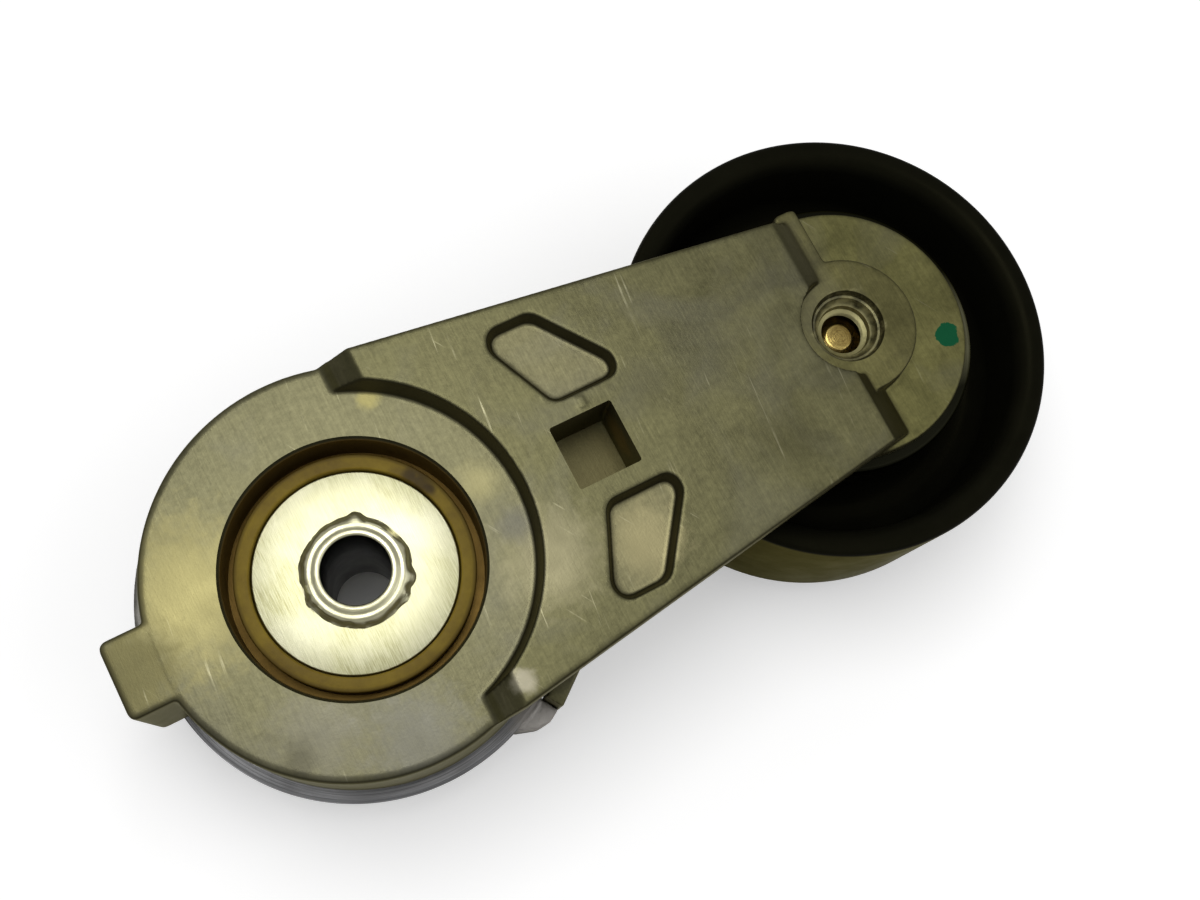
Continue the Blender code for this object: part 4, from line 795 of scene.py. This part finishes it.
# Painted shade darkens the outer side of the ring's lip.
outer = between(tree, marks["Radius"], 0.02150, 0.02235)
colour = tinted(tree, outer, 0.85, colour, (0.034, 0.019, 0.004))
for place, reach in (((0.0180, 0.0100, 0.0420), 0.0028), ((0.0168, 0.0122, 0.0420), 0.0022),
                     ((0.0190, 0.0080, 0.0420), 0.0016)):
    grease = patch_at(tree, spot, place, reach, 0.25)
    colour = tinted(tree, grease, 0.75, colour, (0.030, 0.018, 0.007))
fed(tree, shader, {
    "Base Color": colour, "Specular IOR Level": 0.08,
    "Roughness": between(tree, marks["Wear"], 0.3, 0.7, 0.36, 0.55),
    "Normal": embossed(tree, {"Height": marks["Lines"]}, 0.08)})
coated(friction, amber_finish)


# ---- Pulley ----
# A smooth idler, pressed from steel sheet to a deep dish with a round shoulder and coated black.
# The belt runs on its outer face, which is a little worn and greyer than the rest.
pulley = turned_blank("idler", softened((
    (0.0445, 0.0391, 0.0012), (0.0445, 0.0040, 0.0010), (0.0394, 0.0040, 0.0010),
    (0.0394, 0.0078, 0.0006), (0.0413, 0.0097, 0.0006), (0.0413, 0.0152, 0.0014),
    (0.0270, 0.0152, 0.0006), (0.0262, 0.0149, 0.0), (0.0220, 0.0149, 0.0004),
    (0.0220, 0.0167, 0.0), (0.0238, 0.0167, 0.0), (0.0238, 0.0310, 0.0003),
    (0.0270, 0.0310, 0.0009), (0.0270, 0.0188, 0.0050), (0.0380, 0.0188, 0.0050),
    (0.0389, 0.0391, 0.0036)), steps=8), x=PULLEY_X, facets=240)
smooth_shaded(pulley)
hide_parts("pulley_shell")
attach(pulley, "pulley")
black_finish, tree, shader, spot = finish_named("black_coat")
centred = wired(tree, 'ShaderNodeMapping', {
    "Vector": spot, "Location": (-PULLEY_X, 0.0, 0.0)}).outputs[0]
marks = placed_group(tree, lathe, {"Vector": centred, "Pitch": 900.0})
coat = blended(tree, marks["Wear"], (0.0030, 0.0030, 0.0018), (0.0070, 0.0068, 0.0038))
belt_face = between(tree, marks["Radius"], 0.04435, 0.04448)
worn_face = blended(tree, marks["Lines"], (0.040, 0.036, 0.014), (0.082, 0.074, 0.034))
orange_peel = noise(tree, spot, 700.0, 2.0)
fed(tree, shader, {
    "Base Color": blended(tree, belt_face, coat, worn_face),
    "Metallic": sum_of(tree, 'MULTIPLY', belt_face, 0.8),
    "Roughness": between(tree, marks["Wear"], 0.3, 0.7, 0.28, 0.44),
    "Specular IOR Level": 0.05, "Specular Tint": (0.50, 0.47, 0.24, 1.0),
    "Normal": embossed(tree, {"Height": orange_peel}, 0.05, 0.0003)})
coated(pulley, black_finish)


# ---- Dust shields ----
# Two pressed steel covers over the bearing. The front one shows behind the arm's end disc as a
# dark crescent with a bright edge, and the rear one is clamped by the bolt.
front_shield = turned_blank("front_cover", softened((
    (0.0123, 0.0408, 0.0), (0.0280, 0.0408, 0.0008), (0.0280, 0.0366, 0.0003),
    (0.0268, 0.0366, 0.0003), (0.0268, 0.0396, 0.0006), (0.0123, 0.0396, 0.0)), steps=4),
    x=PULLEY_X, facets=200)
rear_shield = turned_blank("rear_cover", softened((
    (0.0053, 0.0149, 0.0), (0.0205, 0.0149, 0.0002), (0.0205, 0.0139, 0.0003),
    (0.0199, 0.0137, 0.0004), (0.0140, 0.0137, 0.0002), (0.0132, 0.0139, 0.0002),
    (0.0053, 0.0139, 0.0)), steps=4), x=PULLEY_X, facets=160)
for shield, cad_node in ((front_shield, "front_dust_shield"), (rear_shield, "rear_dust_shield")):
    smooth_shaded(shield)
    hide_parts(cad_node)
    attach(shield, "arm")
    shield_finish, tree, shader, _, colour = turned_steel(
        cad_node + "_steel", (0.060, 0.058, 0.030), (0.150, 0.145, 0.085), 0.30, axis_x=PULLEY_X,
        pitch=3000.0)
    shader.inputs["Specular Tint"].default_value = (0.55, 0.52, 0.32, 1.0)
    if shield is front_shield:
        # Light reaches only a short stretch of the crescent.
        spot = node(tree, 'ShaderNodeTexCoord').outputs["Object"]
        sideways = wired(tree, 'ShaderNodeSeparateXYZ', {0: spot}).outputs["Y"]
        shaded = sum_of(tree, 'MAXIMUM', between(tree, sideways, -0.006, 0.003),
                        between(tree, sideways, -0.014, -0.020))
        fed(tree, shader, {"Base Color": blended(tree, shaded, colour, (0.010, 0.010, 0.006))})
    coated(shield, shield_finish)


# ---- Pulley bolt ----
# A flange bolt with yellow zinc, put in from the back. Its rounded end shows deep in the
# threaded hole of the boss, and its hexagon head at the back of the pulley.
bolt = turned_blank("flange_bolt", softened((
    (0.0, 0.04155, 0.0), (0.0026, 0.04140, 0.0010), (0.0040, 0.0406, 0.0003),
    (0.0050, 0.0398, 0.0002), (0.0050, 0.0134, 0.0), (0.0105, 0.0134, 0.0002),
    (0.0105, 0.0125, 0.0003), (0.0080, 0.0114, 0.0), (0.0, 0.0114, 0.0)), steps=4),
    x=PULLEY_X, facets=96)
head = round_blank("hexagon", 0.00866, 0.0054, 0.0120, x=PULLEY_X, facets=6)
eased(head, 0.0003, upright, segments=2)
head_chamfer = turned_blank("head_chamfer", (
    (0.0072, 0.0050), (0.0076, 0.0054), (0.0090, 0.0062), (0.0110, 0.0062), (0.0110, 0.0050)),
    x=PULLEY_X, facets=96)
worked(head, head_chamfer)
worked(bolt, head, 'UNION')
smooth_shaded(bolt, 30.0)
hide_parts("pulley_bolt")
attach(bolt, "arm")
coated(bolt, turned_steel(
    "bolt_steel", (0.20, 0.12, 0.03), (0.62, 0.48, 0.16), 0.22, axis_x=PULLEY_X, pitch=2600.0,
    bump=0.2, stain=(0.06, 0.03, 0.01), stain_share=0.6)[0])


# ---- Torsion spring ----
# Round steel wire, coiled four and a quarter turns and coated dark. Its lower end is bent out
# into the base's housing and its upper end into the arm's tab. The real spring winds up as the
# arm swings; here the coil keeps one shape.
WIRE_RADIUS = 0.0031
COIL_RADIUS = 0.0309
BEND_RADIUS = 0.0070
END_REACH = 0.0434
LOWER_END, UPPER_END = 0.0099, 0.0381
LOWER_ANGLE, UPPER_ANGLE = math.pi / 2, math.pi + 4 * math.tau
BEND_STEPS, COIL_STEPS = 8, 240


def bent_out(angle, way, z):
    """The wire's straight end and its bend up to the coil, as (radius, angle, height)."""
    points = [(END_REACH, angle, z)]
    for step in range(BEND_STEPS + 1):
        lean = math.pi / 2 * step / BEND_STEPS
        points.append((COIL_RADIUS + BEND_RADIUS * (1 - math.sin(lean)),
                       angle + way * BEND_RADIUS * (1 - math.cos(lean)) / COIL_RADIUS, z))
    return points


bend_angle = BEND_RADIUS / COIL_RADIUS
route = bent_out(LOWER_ANGLE, 1, LOWER_END)
for step in range(1, COIL_STEPS):
    share = step / COIL_STEPS
    route.append((COIL_RADIUS, LOWER_ANGLE + bend_angle
                  + share * (UPPER_ANGLE - LOWER_ANGLE - 2 * bend_angle),
                  LOWER_END + share * (UPPER_END - LOWER_END)))
route += reversed(bent_out(UPPER_ANGLE, -1, UPPER_END))
wire = bpy.data.curves.new("spring_wire", 'CURVE')
wire.dimensions = '3D'
wire.bevel_depth = WIRE_RADIUS
wire.bevel_resolution = 5
wire.use_fill_caps = True
line = wire.splines.new('POLY')
line.points.add(len(route) - 1)
for point, (radius_at, angle, z) in zip(line.points, route):
    point.co = (radius_at * math.cos(angle), radius_at * math.sin(angle), z, 1.0)
spring = bpy.data.objects.new("coil_spring", wire)
bpy.context.scene.collection.objects.link(spring)
picked(spring)
bpy.ops.object.convert(target='MESH')
spring = bpy.context.object
bpy.ops.object.mode_set(mode='EDIT')
bpy.ops.mesh.select_all(action='SELECT')
bpy.ops.mesh.remove_doubles(threshold=WELD)
bpy.ops.mesh.normals_make_consistent(inside=False)
bpy.ops.object.mode_set(mode='OBJECT')
smooth_shaded(spring, 40.0)
coated(spring, turned_steel("spring_steel", (0.05, 0.05, 0.05), (0.11, 0.11, 0.12), 0.38)[0])
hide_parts("torsion_spring")
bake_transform(spring)


# ---- Bearing, sleeve and bushing ----
# These sit inside and keep the shapes of the solids: ground bearing steel, a machined brass cage,
# seals of black rubber and a moulded bushing.
for node_name, dark, light, roughness in (
        ("bearing_sleeve", (0.30, 0.30, 0.29), (0.48, 0.48, 0.47), 0.34),
        ("bearing_inner_ring", (0.40, 0.40, 0.41), (0.56, 0.56, 0.57), 0.20),
        ("bearing_outer_ring", (0.40, 0.40, 0.41), (0.56, 0.56, 0.57), 0.20),
        ("ball_cage", (0.30, 0.23, 0.10), (0.48, 0.38, 0.18), 0.34)):
    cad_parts[node_name].material_slots[0].material = turned_steel(
        node_name + "_finish", dark, light, roughness, axis_x=PULLEY_X)[0]
ball_finish = turned_steel("ball_steel", (0.56, 0.56, 0.58), (0.62, 0.62, 0.64), 0.14,
                           axis_x=PULLEY_X, bump=0.02)[0]
for number in range(1, 8):
    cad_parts["ball_%d" % number].material_slots[0].material = ball_finish


def moulded(name, dark, light, roughness):
    """Moulded rubber or plastic with a faint mottle and grain."""
    finish, tree, shader, spot = finish_named(name)
    mottle = noise(tree, spot, 180.0, 6.0, Roughness=0.65)
    fed(tree, shader, {
        "Base Color": blended(tree, mottle, dark, light),
        "Roughness": between(tree, mottle, 0.3, 0.7, roughness - 0.06, roughness + 0.10),
        "Normal": embossed(tree, {"Height": mottle}, 0.08)})
    return finish


for node_name, dark, light, roughness in (
        ("pivot_bushing", (0.22, 0.15, 0.06), (0.34, 0.25, 0.12), 0.46),
        ("bearing_seal_front", (0.016, 0.016, 0.016), (0.034, 0.034, 0.034), 0.55),
        ("bearing_seal_rear", (0.016, 0.016, 0.016), (0.034, 0.034, 0.034), 0.55)):
    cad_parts[node_name].material_slots[0].material = moulded(
        node_name + "_finish", dark, light, roughness)


# ---- Floor, light and camera ----
# A white floor that glows a little for the camera, but not under the part, so that the bore
# stays dark. One wide lamp hangs over it and one at the side, under an even sky.
FLOOR_DROP = 0.0072
bpy.ops.object.select_all(action='DESELECT')
bpy.ops.mesh.primitive_plane_add(size=4.0, location=(0.0, 0.0, -FLOOR_DROP))
floor = bpy.context.object
floor.name = "floor"
floor_finish, tree, shader, spot = finish_named("floor_white")
seen = node(tree, 'ShaderNodeLightPath').outputs["Is Camera Ray"]
apart = wired(tree, 'ShaderNodeVectorMath', {0: spot, 1: (0.0, 0.0, FLOOR_DROP)},
              operation='DISTANCE').outputs["Value"]
open_floor = between(tree, apart, 0.016, 0.019, 0.0, 0.32)
fed(tree, shader, {
    "Base Color": (0.92, 0.92, 0.92, 1.0), "Roughness": 0.8, "Specular IOR Level": 0.1,
    "Emission Color": (1.0, 1.0, 1.0, 1.0),
    "Emission Strength": sum_of(tree, 'MULTIPLY', seen, open_floor)})
coated(floor, floor_finish)

for name, place, aim, size, power in (
        ("soft_lamp", (0.010, 0.125, 0.600), (0.0, 0.0, 0.045), 0.30, 1.35),
        ("side_lamp", (0.700, -0.500, 0.900), (0.05, 0.0, 0.03), 0.80, 1.6)):
    lamp = bpy.data.lights.new(name, 'AREA')
    lamp.shape = 'SQUARE'
    lamp.size = size
    lamp.energy = power
    holder = bpy.data.objects.new(name, lamp)
    bpy.context.scene.collection.objects.link(holder)
    holder.location = place
    holder.rotation_euler = (Vector(aim) - Vector(place)).to_track_quat('-Z', 'Y').to_euler()

world = bpy.data.worlds.new("even_sky")
bpy.context.scene.world = world
world.use_nodes = True
sky = world.node_tree
seen = node(sky, 'ShaderNodeLightPath').outputs["Is Camera Ray"]
fed(sky, sky.nodes["Background"], {
    "Color": (1.0, 1.0, 1.0, 1.0), "Strength": between(sky, seen, 0.0, 1.0, 0.45, 1.0)})

# The camera stands where the photograph's was, as fitted to the outlines of the part.
view = bpy.data.cameras.new("camera")
view.lens = 41.56
view.sensor_width = 36.0
view.sensor_fit = 'HORIZONTAL'
view.clip_start = 0.01
camera = bpy.data.objects.new("camera", view)
bpy.context.scene.collection.objects.link(camera)
camera.location = (-0.00403, -0.04464, 0.30022)
camera.rotation_euler = (math.radians(14.2162), math.radians(-6.2676), math.radians(-27.7353))
bpy.context.scene.camera = camera
bpy.context.scene.view_settings.view_transform = 'Standard'
